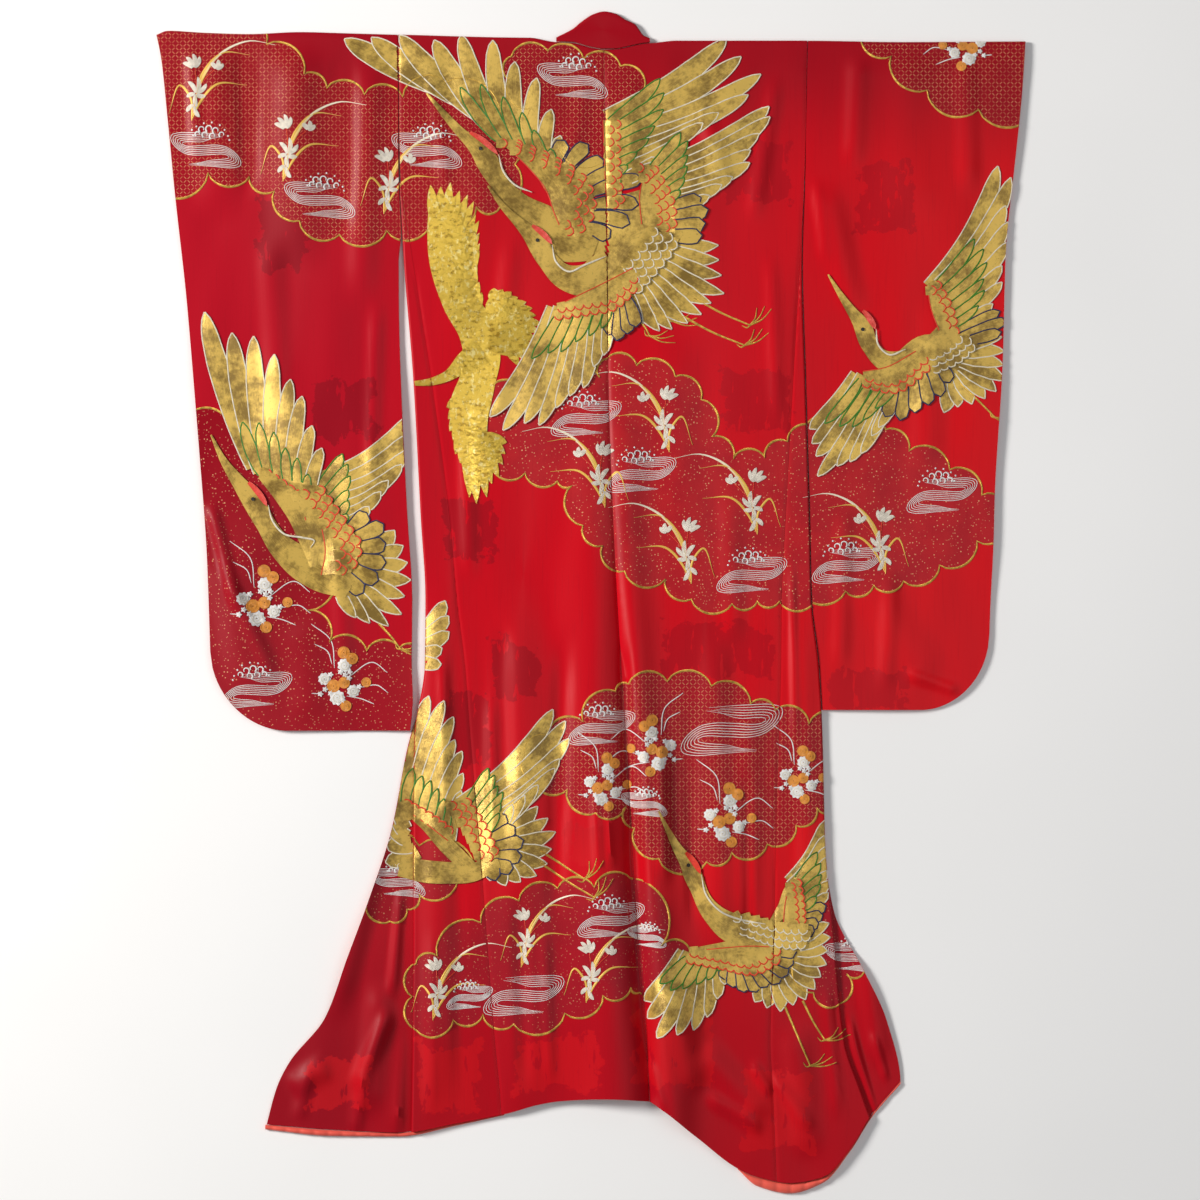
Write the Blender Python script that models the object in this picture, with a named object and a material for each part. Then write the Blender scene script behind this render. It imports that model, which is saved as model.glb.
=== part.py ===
"""A uchikake wedding kimono, lying flat and face down, its back up and its collar towards +Y.

The body hangs together as two lengths of padded silk, joined down the centre of the back.
Each length passes under at its side, where a strip of the front shows beyond the side seam,
and the front overlaps swing out from under it at the hem. The sleeves are long bags with a
rounded lower corner, sewn to the body only at the top.
Metres, +Z up, origin at the middle of the garment's underside.
"""
import math
from collections import namedtuple

import bmesh
import bpy
import numpy as np
from mathutils import Vector

# ---- cloth and layers
WALL = 0.0024                  # silk, wadding and lining together
SEAM_GAP = 0.0003              # between two pieces at a seam
LAYER = WALL + SEAM_GAP        # one layer lying on another
UNDER_LEVEL = 0.0              # underside of the overlaps, the collar runs and the sleeves
FRONT_LEVEL = LAYER            # underside of the fronts, on the overlaps
BACK_LEVEL = 2 * LAYER         # underside of the back, on the fronts
BACK_TOP = BACK_LEVEL + WALL   # upper face of the back where it lies flat
EDGE_TURN = 0.0034             # radius of a fold at an outer edge
SLEEVE_SHOULDER_TOP = 0.0078   # upper face of a sleeve at its shoulder fold
SLEEVE_LOWER_TOP = 0.0053      # upper face of a sleeve below it
SLEEVE_LEVEL_DROP = 0.30       # distance over which it settles from one to the other
OVERLAP_TOP = 0.529            # y of the upper point of each overlap
OVERLAP_FLAT = 0.005           # an overlap stays flat this far beyond the side fold
OVERLAP_LIP = 0.006            # its least width beyond the flat part
OVERLAP_EASE_LEFT = 0.020      # its folds rise over this distance beyond the flat part
OVERLAP_EASE_RIGHT = 0.012
NECK_GAP = 0.0012              # between the back and the collar's seam
NECK_EASE = 0.040              # length over which the shoulder line meets the neckline
SHOULDER_EASE = 0.05           # a sleeve's folds rise over this distance below the shoulder
SHOULDER_MIDDLE_Y = 0.85       # about where the shoulder fold lies
FRONT_TOP_INSET = 0.018        # the flat front stops short inside the shoulder fold
FRONT_INSET = 0.006            # and inside the side fold
COLLAR_RUN_TOP = 0.826         # y where the collar's front runs start
COLLAR_RUN_END = 0.010         # and where they end
COLLAR_RUN_WIDTH = 0.050
COLLAR_RUN_EASE = 0.05         # length over which a run passes from the front to the overlap
COLLAR_STAND_MIN = 0.001       # least height of the collar above its seam
HEM_ROLL_LEFT_SPAN = (-0.4880, -0.1300)
HEM_ROLL_RIGHT_SPAN = (0.2200, 0.4640)
HEM_ROLL_GAP = 0.0010
HEM_ROLL_MIN = 0.0016          # the roll's width where it runs out
HEM_ROLL_HEIGHT = 0.0085
HEM_ROLL_FULLNESS = 0.7        # height for its width, where it is narrow
HEM_ROLL_FLATTEST = 0.002
HEM_ROLL_SIDE = 0.35           # share of its height that stands upright at each edge
HEM_ROLL_ANGLES = (0, 50, 90, 130, 180)

# ---- lines across the body at one height: the side folds, the side seams, the centre seam
BodyRow = namedtuple("BodyRow", "y fold_left seam_left centre seam_right fold_right")
BODY = [
    BodyRow(0.850, -0.2890, -0.2890, 0.019, 0.3240, 0.3240),
    BodyRow(0.649, -0.2870, -0.2860, 0.022, 0.3200, 0.3200),
    BodyRow(0.520, -0.2810, -0.2680, 0.024, 0.3130, 0.3160),
    BodyRow(0.331, -0.2660, -0.2390, 0.026, 0.3020, 0.3210),
    BodyRow(0.127, -0.2550, -0.2120, 0.033, 0.2910, 0.3270),
    BodyRow(0.004, -0.2480, -0.2010, 0.039, 0.2850, 0.3300),
    BodyRow(-0.094, -0.2490, -0.1890, 0.045, 0.2840, 0.3410),
    BodyRow(-0.199, -0.2640, -0.1810, 0.052, 0.2810, 0.3470),
    BodyRow(-0.358, -0.2660, -0.1670, 0.061, 0.2760, 0.3510),
    BodyRow(-0.490, -0.2660, -0.1570, 0.069, 0.2740, 0.3630),
    BodyRow(-0.658, -0.2670, -0.1440, 0.083, 0.2680, 0.3800),
    BodyRow(-0.731, -0.2680, -0.1370, 0.087, 0.2720, 0.4040),
    BodyRow(-0.877, -0.2700, -0.1280, 0.091, 0.2780, 0.4560),
]

# ---- lower edge: of the silk, and of the padded roll below it
HemRow = namedtuple("HemRow", "x silk roll")
HEM = [
    HemRow(-0.488, -0.782, -0.790),
    HemRow(-0.389, -0.790, -0.800),
    HemRow(-0.289, -0.794, -0.801),
    HemRow(-0.200, -0.780, -0.784),
    HemRow(-0.129, -0.766, -0.768),
    HemRow(-0.080, -0.752, -0.753),
    HemRow(-0.045, -0.746, -0.747),
    HemRow(0.030, -0.741, -0.742),
    HemRow(0.083, -0.746, -0.747),
    HemRow(0.110, -0.760, -0.761),
    HemRow(0.156, -0.798, -0.799),
    HemRow(0.219, -0.847, -0.849),
    HemRow(0.249, -0.860, -0.875),
    HemRow(0.298, -0.869, -0.886),
    HemRow(0.348, -0.860, -0.870),
    HemRow(0.390, -0.815, -0.821),
    HemRow(0.421, -0.767, -0.772),
    HemRow(0.464, -0.717, -0.722),
]

# ---- the overlap beyond each side: its front edge and the fold where it turns under the front
FlareRow = namedtuple("FlareRow", "y edge turn")
FLARE_LEFT = [
    FlareRow(0.529, -0.024, -0.002),
    FlareRow(0.229, -0.106, -0.024),
    FlareRow(0.004, -0.181, -0.061),
    FlareRow(-0.146, -0.251, -0.075),
    FlareRow(-0.209, -0.273, -0.083),
    FlareRow(-0.341, -0.299, -0.108),
    FlareRow(-0.446, -0.333, -0.128),
    FlareRow(-0.530, -0.364, -0.148),
    FlareRow(-0.623, -0.399, -0.178),
    FlareRow(-0.689, -0.452, -0.194),
    FlareRow(-0.727, -0.471, -0.204),
    FlareRow(-0.790, -0.488, -0.216),
]
FLARE_RIGHT = [
    FlareRow(0.529, 0.044, 0.032),
    FlareRow(0.229, 0.134, 0.073),
    FlareRow(-0.071, 0.224, 0.128),
    FlareRow(-0.326, 0.314, 0.181),
    FlareRow(-0.401, 0.351, 0.188),
    FlareRow(-0.469, 0.366, 0.192),
    FlareRow(-0.550, 0.408, 0.206),
    FlareRow(-0.626, 0.443, 0.225),
    FlareRow(-0.718, 0.464, 0.258),
    FlareRow(-0.877, 0.466, 0.300),
]

# ---- the inner edge of each front above its overlap, at the neck
FrontRow = namedtuple("FrontRow", "y left right")
FRONT_NECK = [
    FrontRow(0.850, -0.047, 0.096),
    FrontRow(0.724, -0.024, 0.058),
    FrontRow(0.529, -0.002, 0.032),
]

# ---- sleeves: outer and inner edge
SleeveRow = namedtuple("SleeveRow", "y outer inner")
SLEEVE_LEFT = [
    SleeveRow(0.856, -0.652, -0.2898),
    SleeveRow(0.811, -0.643, -0.2894),
    SleeveRow(0.724, -0.634, -0.2886),
    SleeveRow(0.619, -0.624, -0.2884),
    SleeveRow(0.454, -0.606, -0.2880),
    SleeveRow(0.229, -0.587, -0.2810),
    SleeveRow(0.064, -0.575, -0.2760),
    SleeveRow(-0.076, -0.570, -0.2700),
    SleeveRow(-0.146, -0.567, -0.2670),
    SleeveRow(-0.193, -0.566, -0.2710),
]
SLEEVE_RIGHT = [
    SleeveRow(0.844, 0.651, 0.3248),
    SleeveRow(0.766, 0.646, 0.3232),
    SleeveRow(0.649, 0.634, 0.3212),
    SleeveRow(0.517, 0.621, 0.3290),
    SleeveRow(0.368, 0.617, 0.3320),
    SleeveRow(0.167, 0.605, 0.3320),
    SleeveRow(0.094, 0.603, 0.3330),
    SleeveRow(-0.047, 0.597, 0.3400),
    SleeveRow(-0.116, 0.596, 0.3460),
    SleeveRow(-0.161, 0.594, 0.3510),
]
SleeveCut = namedtuple("SleeveCut", "bottom corner_across corner_up")
SLEEVE_LEFT_CUT = SleeveCut(-0.192, 0.112, 0.118)
SLEEVE_RIGHT_CUT = SleeveCut(-0.161, 0.100, 0.115)

# ---- the shoulder line
ShoulderRow = namedtuple("ShoulderRow", "x y")
SHOULDER = [
    ShoulderRow(-0.651, 0.851),
    ShoulderRow(-0.634, 0.857),
    ShoulderRow(-0.580, 0.854),
    ShoulderRow(-0.512, 0.852),
    ShoulderRow(-0.436, 0.855),
    ShoulderRow(-0.361, 0.853),
    ShoulderRow(-0.289, 0.851),
    ShoulderRow(-0.137, 0.847),
    ShoulderRow(-0.052, 0.846),
    ShoulderRow(0.088, 0.842),
    ShoulderRow(0.324, 0.842),
    ShoulderRow(0.464, 0.840),
    ShoulderRow(0.651, 0.841),
]

# ---- the collar standing above the neckline: seam below, fold above
CollarRow = namedtuple("CollarRow", "x seam fold")
COLLAR = [
    CollarRow(-0.052, 0.8410, 0.847),
    CollarRow(-0.027, 0.8400, 0.860),
    CollarRow(-0.015, 0.8370, 0.870),
    CollarRow(0.004, 0.8320, 0.882),
    CollarRow(0.020, 0.8300, 0.886),
    CollarRow(0.036, 0.8300, 0.883),
    CollarRow(0.053, 0.8330, 0.873),
    CollarRow(0.066, 0.8360, 0.867),
    CollarRow(0.079, 0.8385, 0.850),
    CollarRow(0.088, 0.8395, 0.846),
]

# ---- the deep valley along the centre seam: height of the swell on each side, and its distance
ValleyRow = namedtuple("ValleyRow", "y rise reach_left reach_right")
VALLEY = [
    ValleyRow(0.480, 0.000, 0.030, 0.022),
    ValleyRow(0.300, 0.004, 0.030, 0.022),
    ValleyRow(0.050, 0.009, 0.034, 0.022),
    ValleyRow(-0.150, 0.014, 0.040, 0.024),
    ValleyRow(-0.400, 0.019, 0.046, 0.028),
    ValleyRow(-0.650, 0.022, 0.050, 0.032),
    ValleyRow(-0.850, 0.021, 0.052, 0.034),
]

# ---- the other large folds, each a soft ridge from a start to an end
Fold = namedtuple("Fold", "x0 y0 x1 y1 half_width height")
BACK_FOLDS = [
    Fold(-0.112, 0.080, -0.095, -0.800, 0.062, 0.0080),
    Fold(0.186, -0.020, 0.194, -0.560, 0.034, 0.0060),
    Fold(0.238, -0.120, 0.232, -0.500, 0.030, 0.0050),
    Fold(0.160, -0.660, 0.262, -0.780, 0.034, 0.0070),
    Fold(0.215, 0.820, 0.150, 0.520, 0.045, 0.0040),
    Fold(-0.190, 0.830, -0.170, 0.450, 0.050, 0.0040),
    Fold(0.120, 0.420, 0.150, 0.080, 0.050, 0.0040),
]
SIDE_FOLDS = [
    Fold(-0.232, 0.050, -0.225, -0.790, 0.036, 0.0060),
    Fold(0.315, 0.000, 0.330, -0.480, 0.030, 0.0045),
    Fold(0.300, -0.620, 0.330, -0.840, 0.034, 0.0070),
]
OVERLAP_FOLDS = [
    Fold(-0.300, -0.260, -0.392, -0.640, 0.034, 0.0100),
    Fold(-0.312, -0.560, -0.338, -0.780, 0.030, 0.0070),
    Fold(-0.390, -0.690, -0.455, -0.730, 0.028, 0.0060),
    Fold(0.404, -0.500, 0.436, -0.700, 0.026, 0.0060),
]
SLEEVE_FOLDS = [
    Fold(-0.440, 0.850, -0.445, 0.480, 0.055, 0.0080),
    Fold(-0.565, 0.850, -0.560, 0.560, 0.045, 0.0060),
    Fold(-0.330, 0.845, -0.345, 0.420, 0.034, 0.0060),
    Fold(-0.560, 0.080, -0.500, -0.150, 0.045, 0.0050),
    Fold(-0.440, -0.020, -0.420, -0.185, 0.040, 0.0040),
    Fold(0.345, 0.640, 0.400, 0.420, 0.032, 0.0050),
    Fold(0.470, 0.840, 0.480, 0.560, 0.050, 0.0040),
    Fold(0.400, 0.050, 0.520, -0.130, 0.045, 0.0040),
]
FOLD_FADE = 0.22               # share of a fold's length over which each end dies away

# ---- how finely each piece is divided
BACK_STEPS = (11, 32)
FRONT_STEPS = (4, 14)
STRIP_STEPS = 3
STRIP_FIRST_ROW = 7            # row of the back where the side seam starts
OVERLAP_STEPS = (5, 20)
OVERLAP_HIDDEN_STEPS = 2
SLEEVE_STEPS = (8, 12)
COLLAR_STEPS = (12, 3)
COLLAR_RUN_STEPS = (2, 8)
HEM_ROLL_STEPS = 22
UNDERSIDE_STEPS = 6            # along a sleeve's flat underside
BACK_CROWDING = 1.5            # how strongly columns gather at the centre seam
SLEEVE_CROWDING = 1.4          # and at a sleeve's outer edge
FOLD_TURNS = (45, 0, -45)      # degrees round a folded edge
MEETING_ROUNDS = 8             # rounds to find where a column meets its end lines
CREASE_ANGLE = math.radians(50)

# ---- colours: (red, green, blue), roughness
Finish = namedtuple("Finish", "colour roughness")
SILK = Finish((0.60, 0.010, 0.020), 0.42)
HEM_LINING = Finish((0.78, 0.100, 0.060), 0.55)


def steady_slopes(knots, values):
    """Return slopes at the knots that never let the curve swing past its values."""
    secants = np.diff(values) / np.diff(knots)
    slopes = [secants[0]]
    for before, after in zip(secants[:-1], secants[1:]):
        slopes.append(0.0 if before * after <= 0 else 2 * before * after / (before + after))
    slopes.append(secants[-1])
    return slopes


def curve_through(rows, key, name):
    """Return a function: column `name` at a value of column `key`, smooth through the rows."""
    pairs = sorted((getattr(row, key), getattr(row, name)) for row in rows)
    knots = np.array([pair[0] for pair in pairs])
    values = np.array([pair[1] for pair in pairs])
    slopes = steady_slopes(knots, values)

    def at(where):
        place = min(max(where, knots[0]), knots[-1])
        index = min(int(np.searchsorted(knots, place, side="right")) - 1, len(knots) - 2)
        span = knots[index + 1] - knots[index]
        s = (place - knots[index]) / span
        start = (1 + 2 * s) * (1 - s) ** 2 * values[index]
        start += s * (1 - s) ** 2 * span * slopes[index]
        end = s * s * (3 - 2 * s) * values[index + 1]
        end += s * s * (s - 1) * span * slopes[index + 1]
        return float(start + end)

    return at


FOLD_LEFT_X = curve_through(BODY, "y", "fold_left")
SEAM_LEFT_X = curve_through(BODY, "y", "seam_left")
CENTRE_X = curve_through(BODY, "y", "centre")
SEAM_RIGHT_X = curve_through(BODY, "y", "seam_right")
FOLD_RIGHT_X = curve_through(BODY, "y", "fold_right")
SHOULDER_Y = curve_through(SHOULDER, "x", "y")
HEM_SILK_Y = curve_through(HEM, "x", "silk")
HEM_ROLL_Y = curve_through(HEM, "x", "roll")
COLLAR_SEAM_Y = curve_through(COLLAR, "x", "seam")
COLLAR_FOLD_Y = curve_through(COLLAR, "x", "fold")
VALLEY_RISE = curve_through(VALLEY, "y", "rise")
VALLEY_REACH_LEFT = curve_through(VALLEY, "y", "reach_left")
VALLEY_REACH_RIGHT = curve_through(VALLEY, "y", "reach_right")


def moved(curve, distance):
    """Return the curve with a constant added."""
    return lambda where: curve(where) + distance


def mix(low, high, share):
    return low + (high - low) * share


def even(steps):
    """Return shares from 0 to 1 in equal steps."""
    return [step / steps for step in range(steps + 1)]


def crowded(steps, power):
    """Return shares from 0 to 1 that crowd together towards 1."""
    return [1 - (1 - step / steps) ** power for step in range(steps + 1)]


def soft_step(value):
    share = min(max(value, 0.0), 1.0)
    return share * share * (3 - 2 * share)


def back_top_y(x):
    """Return the upper edge of the back: the shoulder line, dipping along the collar's seam."""
    beyond = max(COLLAR[0].x - x, x - COLLAR[-1].x, 0.0)
    near_collar = min(max(x, COLLAR[0].x), COLLAR[-1].x)
    dip = SHOULDER_Y(near_collar) - COLLAR_SEAM_Y(near_collar) + NECK_GAP
    return SHOULDER_Y(x) - dip * soft_step(1 - beyond / NECK_EASE)


def fold_height(folds, x, y):
    """Return the height that soft ridges add at a point."""
    total = 0.0
    for fold in folds:
        run = Vector((fold.x1 - fold.x0, fold.y1 - fold.y0))
        offset = Vector((x - fold.x0, y - fold.y0))
        share = offset.dot(run) / run.length_squared
        distance = abs(offset.x * run.y - offset.y * run.x) / run.length
        if distance >= fold.half_width or not 0.0 < share < 1.0:
            continue
        across = math.cos(0.5 * math.pi * distance / fold.half_width) ** 2
        ends = soft_step(share / FOLD_FADE) * soft_step((1 - share) / FOLD_FADE)
        total += fold.height * across * ends
    return total


def valley_height(x, y):
    """Return the height of the two swells that stand beside the centre seam."""
    distance = x - CENTRE_X(y)
    reach = VALLEY_REACH_RIGHT(y) if distance > 0 else VALLEY_REACH_LEFT(y)
    share = abs(distance) / reach
    return VALLEY_RISE(y) * share * math.exp(0.5 * (1 - share * share))


def back_height(x, y):
    """Return the upper face of the back at a point."""
    return BACK_TOP + valley_height(x, y) + fold_height(BACK_FOLDS, x, y)


def strip_height(x, y):
    """Return the upper face of the strip beyond a side seam."""
    return back_height(x, y) + fold_height(SIDE_FOLDS, x, y)


def overlap_height(x, y):
    """Return the upper face of an overlap: flat where the front lies on it."""
    clear_left = soft_step((FOLD_LEFT_X(y) - OVERLAP_FLAT - x) / OVERLAP_EASE_LEFT)
    clear_right = soft_step((x - FOLD_RIGHT_X(y) - OVERLAP_FLAT) / OVERLAP_EASE_RIGHT)
    clear = max(clear_left, clear_right)
    return UNDER_LEVEL + WALL + clear * fold_height(OVERLAP_FOLDS, x, y)


def sleeve_height(x, y):
    """Return the upper face of a sleeve: fuller at the shoulder fold."""
    settled = soft_step((SHOULDER_Y(x) - y) / SLEEVE_LEVEL_DROP)
    shoulder_clear = soft_step((SHOULDER_Y(x) - y) / SHOULDER_EASE)
    level = mix(SLEEVE_SHOULDER_TOP, SLEEVE_LOWER_TOP, settled)
    return level + shoulder_clear * fold_height(SLEEVE_FOLDS, x, y)


def wall_between(name, outer, inner, make_material, collection):
    """Build one closed wall from its outer and inner grids of points, row by row."""
    rows = len(outer)
    columns = len(outer[0])
    body = bmesh.new()
    faces_of = {}
    for side, grid in (("outer", outer), ("inner", inner)):
        faces_of[side] = [[body.verts.new(point) for point in row] for row in grid]
    top = faces_of["outer"]
    under = faces_of["inner"]
    for row in range(rows - 1):
        for column in range(columns - 1):
            for grid in (top, under):
                corner = (grid[row][column], grid[row][column + 1])
                opposite = (grid[row + 1][column + 1], grid[row + 1][column])
                body.faces.new(corner + opposite)
    for row in range(rows - 1):
        for column in (0, columns - 1):
            pair = (top[row][column], top[row + 1][column])
            body.faces.new(pair + (under[row + 1][column], under[row][column]))
    for column in range(columns - 1):
        for row in (0, rows - 1):
            pair = (top[row][column], top[row][column + 1])
            body.faces.new(pair + (under[row][column + 1], under[row][column]))
    bmesh.ops.recalc_face_normals(body, faces=body.faces)
    if body.calc_volume(signed=True) < 0:
        bmesh.ops.reverse_faces(body, faces=body.faces)
    mesh = bpy.data.meshes.new(name)
    body.to_mesh(mesh)
    body.free()
    mesh.shade_smooth()
    mesh.set_sharp_from_angle(angle=CREASE_ANGLE)
    made = bpy.data.objects.new(name, mesh)
    made.data.materials.append(make_material())
    collection.objects.link(made)
    return made


def flat_places(left, right, top, bottom, across, down):
    """Return (x, y) places: `down` rows from top to bottom, `across` columns from left to right."""
    columns = []
    for share in across:
        x_low = mix(left(0.0), right(0.0), share)
        x_high = mix(left(SHOULDER_MIDDLE_Y), right(SHOULDER_MIDDLE_Y), share)
        for _ in range(MEETING_ROUNDS):
            y_low = bottom(x_low)
            x_low = mix(left(y_low), right(y_low), share)
            y_high = top(x_high)
            x_high = mix(left(y_high), right(y_high), share)
        heights = [mix(y_high, y_low, part) for part in down]
        columns.append([(mix(left(y), right(y), share), y) for y in heights])
    return [list(row) for row in zip(*columns)]


def lift(places, height, thickness):
    """Return the outer and inner grids of a wall over flat places."""
    outer = [[(x, y, height(x, y)) for x, y in row] for row in places]
    inner = [[(x, y, height(x, y) - thickness) for x, y in row] for row in places]
    return outer, inner


def turned_top(edge, low):
    """Return the rows that turn a wall's upper edge down to height `low`, as a shoulder fold."""
    radius = EDGE_TURN
    rest = radius * (1 - math.sin(math.pi / 4))
    rows_out = []
    rows_in = []
    for inset, drop in ((0.0, None), (0.0, radius), (rest, rest), (radius, 0.0)):
        row_out = []
        row_in = []
        for x, y, z in edge:
            height = low if drop is None else z - drop
            height_in = low if drop is None else z - max(drop, WALL)
            row_out.append((x, y - inset, height))
            row_in.append((x, y - max(inset, WALL), height_in))
        rows_out.append(row_out)
        rows_in.append(row_in)
    return rows_out, rows_in


def make_back(name, left, right, across, collection):
    """Build one half of the back, turned down along the shoulder."""
    down = even(BACK_STEPS[1])
    places = flat_places(left, right, back_top_y, HEM_SILK_Y, across, down)
    outer, inner = lift(places, back_height, WALL)
    turned_out, turned_in = turned_top(outer[0], UNDER_LEVEL)
    outer = turned_out + outer[1:]
    inner = turned_in + inner[1:]
    return wall_between(name, outer, inner, red_silk, collection)


def make_front(name, left, right, collection):
    """Build one front, lying flat under the back."""
    across = even(FRONT_STEPS[0])
    down = even(FRONT_STEPS[1])
    top = moved(SHOULDER_Y, -FRONT_TOP_INSET)
    places = flat_places(left, right, top, moved(HEM_SILK_Y, SEAM_GAP), across, down)
    outer, inner = lift(places, lambda x, y: FRONT_LEVEL + WALL, WALL)
    return wall_between(name, outer, inner, red_silk, collection)


def make_side_strip(name, seam, fold, collection):
    """Build the strip of front beyond a side seam, turned down round its outer fold."""
    shares = even(STRIP_STEPS)
    down = even(BACK_STEPS[1])[STRIP_FIRST_ROW:]
    inward = 1.0 if seam(0.0) > fold(0.0) else -1.0
    start = moved(seam, -inward * SEAM_GAP)
    crown = moved(fold, inward * EDGE_TURN)
    top = back_top_y
    places = flat_places(start, crown, top, HEM_SILK_Y, shares, down)
    outer, inner = lift(places, strip_height, WALL)
    half_turn = math.sin(math.pi / 4)
    inside = EDGE_TURN - WALL
    rest = EDGE_TURN * (1 - half_turn)
    rest_in = EDGE_TURN - inside * half_turn
    turned = (
        (rest, rest, rest_in, rest_in),
        (0.0, EDGE_TURN, WALL, EDGE_TURN),
        (0.0, None, WALL, None),
    )
    for inset, drop, inset_in, drop_in in turned:
        line = moved(fold, inward * inset)
        line_in = moved(fold, inward * inset_in)
        column = flat_places(line, line, top, HEM_SILK_Y, [0.0], down)
        column_in = flat_places(line_in, line_in, top, HEM_SILK_Y, [0.0], down)
        for index in range(len(down)):
            x, y = column[index][0]
            x_in, y_in = column_in[index][0]
            crest = strip_height(x, y)
            z = FRONT_LEVEL if drop is None else crest - drop
            z_in = FRONT_LEVEL if drop_in is None else crest - drop_in
            outer[index].append((x, y, z))
            inner[index].append((x_in, y_in, z_in))
    return wall_between(name, outer, inner, red_silk, collection)


def make_overlap(name, rows, collection):
    """Build one overlap, flat below the front and swinging out beyond the side."""
    edge = curve_through(rows, "y", "edge")
    turn = curve_through(rows, "y", "turn")
    top = lambda x: OVERLAP_TOP
    down = even(OVERLAP_STEPS[1])
    if edge(0.0) < turn(0.0):
        flat_from = lambda y: max(FOLD_LEFT_X(y) - OVERLAP_FLAT, edge(y) + OVERLAP_LIP)
    else:
        flat_from = lambda y: min(FOLD_RIGHT_X(y) + OVERLAP_FLAT, edge(y) - OVERLAP_LIP)
    shown = flat_places(edge, flat_from, top, HEM_SILK_Y, even(OVERLAP_STEPS[0]), down)
    hidden = flat_places(flat_from, turn, top, HEM_SILK_Y, even(OVERLAP_HIDDEN_STEPS), down)
    places = [row + more[1:] for row, more in zip(shown, hidden)]
    outer, inner = lift(places, overlap_height, WALL)
    return wall_between(name, outer, inner, red_silk, collection)


def sleeve_bottom(outer_edge, inner_edge, cut, share):
    """Return the y of a sleeve's lower edge: straight, with a round outer corner."""
    width = abs(inner_edge(cut.bottom) - outer_edge(cut.bottom))
    along = share * width
    if along >= cut.corner_across:
        return cut.bottom
    bend = (cut.corner_across - along) / cut.corner_across
    return cut.bottom + cut.corner_up * (1 - math.sqrt(max(0.0, 1 - bend * bend)))


def make_sleeve(name, rows, cut, collection):
    """Build one sleeve as a single wall: upper side, shoulder fold, flat underside."""
    outer_edge = curve_through(rows, "y", "outer")
    inner_edge = curve_through(rows, "y", "inner")
    outer_rows = []
    inner_rows = []
    for share in [part ** SLEEVE_CROWDING for part in even(SLEEVE_STEPS[0])]:
        low = sleeve_bottom(outer_edge, inner_edge, cut, share)
        x_top = mix(outer_edge(SHOULDER_MIDDLE_Y), inner_edge(SHOULDER_MIDDLE_Y), share)
        high = SHOULDER_Y(x_top)
        radius = SLEEVE_SHOULDER_TOP / 2
        inside = radius - WALL
        x_at = lambda y: mix(outer_edge(y), inner_edge(y), share)
        upper = [mix(low, high - radius, part) for part in even(SLEEVE_STEPS[1])]
        lower = [mix(high - radius, low, part) for part in even(UNDERSIDE_STEPS)]
        path_out = [(x_at(y), y, sleeve_height(x_at(y), y)) for y in upper]
        path_in = [(x_at(y), y, sleeve_height(x_at(y), y) - WALL) for y in upper]
        for angle in FOLD_TURNS:
            turn = math.radians(angle)
            y = high - radius
            out = (x_top, y + radius * math.cos(turn), radius + radius * math.sin(turn))
            back = (x_top, y + inside * math.cos(turn), radius + inside * math.sin(turn))
            path_out.append(out)
            path_in.append(back)
        path_out += [(x_at(y), y, UNDER_LEVEL) for y in lower]
        path_in += [(x_at(y), y, UNDER_LEVEL + WALL) for y in lower]
        outer_rows.append(path_out)
        inner_rows.append(path_in)
    return wall_between(name, outer_rows, inner_rows, red_silk, collection)


def make_collar_neck(collection):
    """Build the collar above the neckline, a band folded over at its upper edge."""
    radius = BACK_TOP / 2
    inside = radius - WALL
    outer_rows = []
    inner_rows = []
    for share in even(COLLAR_STEPS[0]):
        x = mix(COLLAR[0].x, COLLAR[-1].x, share)
        seam = COLLAR_SEAM_Y(x)
        fold = max(COLLAR_FOLD_Y(x) - radius, seam + COLLAR_STAND_MIN)
        upper = [mix(seam, fold, part) for part in even(COLLAR_STEPS[1])]
        lower = [mix(fold, seam, part) for part in even(COLLAR_STEPS[1])]
        path_out = [(x, y, BACK_TOP) for y in upper]
        path_in = [(x, y, BACK_TOP - WALL) for y in upper]
        for angle in FOLD_TURNS:
            turn = math.radians(angle)
            path_out.append((x, fold + radius * math.cos(turn), radius + radius * math.sin(turn)))
            path_in.append((x, fold + inside * math.cos(turn), radius + inside * math.sin(turn)))
        path_out += [(x, y, UNDER_LEVEL) for y in lower]
        path_in += [(x, y, UNDER_LEVEL + WALL) for y in lower]
        outer_rows.append(path_out)
        inner_rows.append(path_in)
    return wall_between("collar_neck", outer_rows, inner_rows, red_silk, collection)


def collar_run_edge(rows, neck):
    """Return the line that a collar run is sewn along: the neck, then the overlap's edge."""
    flare = curve_through(rows, "y", "edge")
    front = curve_through(FRONT_NECK, "y", neck)

    def at(y):
        share = soft_step((y - OVERLAP_TOP) / COLLAR_RUN_EASE)
        return mix(flare(y), front(y), share)

    return at


def make_collar_run(name, rows, neck, side, collection):
    """Build the collar's run down one front, flat on the surface below."""
    sewn = collar_run_edge(rows, neck)
    near = moved(sewn, side * SEAM_GAP)
    far = moved(sewn, side * COLLAR_RUN_WIDTH)
    left, right = (near, far) if side > 0 else (far, near)
    top = lambda x: COLLAR_RUN_TOP
    bottom = lambda x: COLLAR_RUN_END
    across = even(COLLAR_RUN_STEPS[0])
    down = even(COLLAR_RUN_STEPS[1])
    places = flat_places(left, right, top, bottom, across, down)
    outer, inner = lift(places, lambda x, y: UNDER_LEVEL + WALL, WALL)
    return wall_between(name, outer, inner, red_silk, collection)


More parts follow.
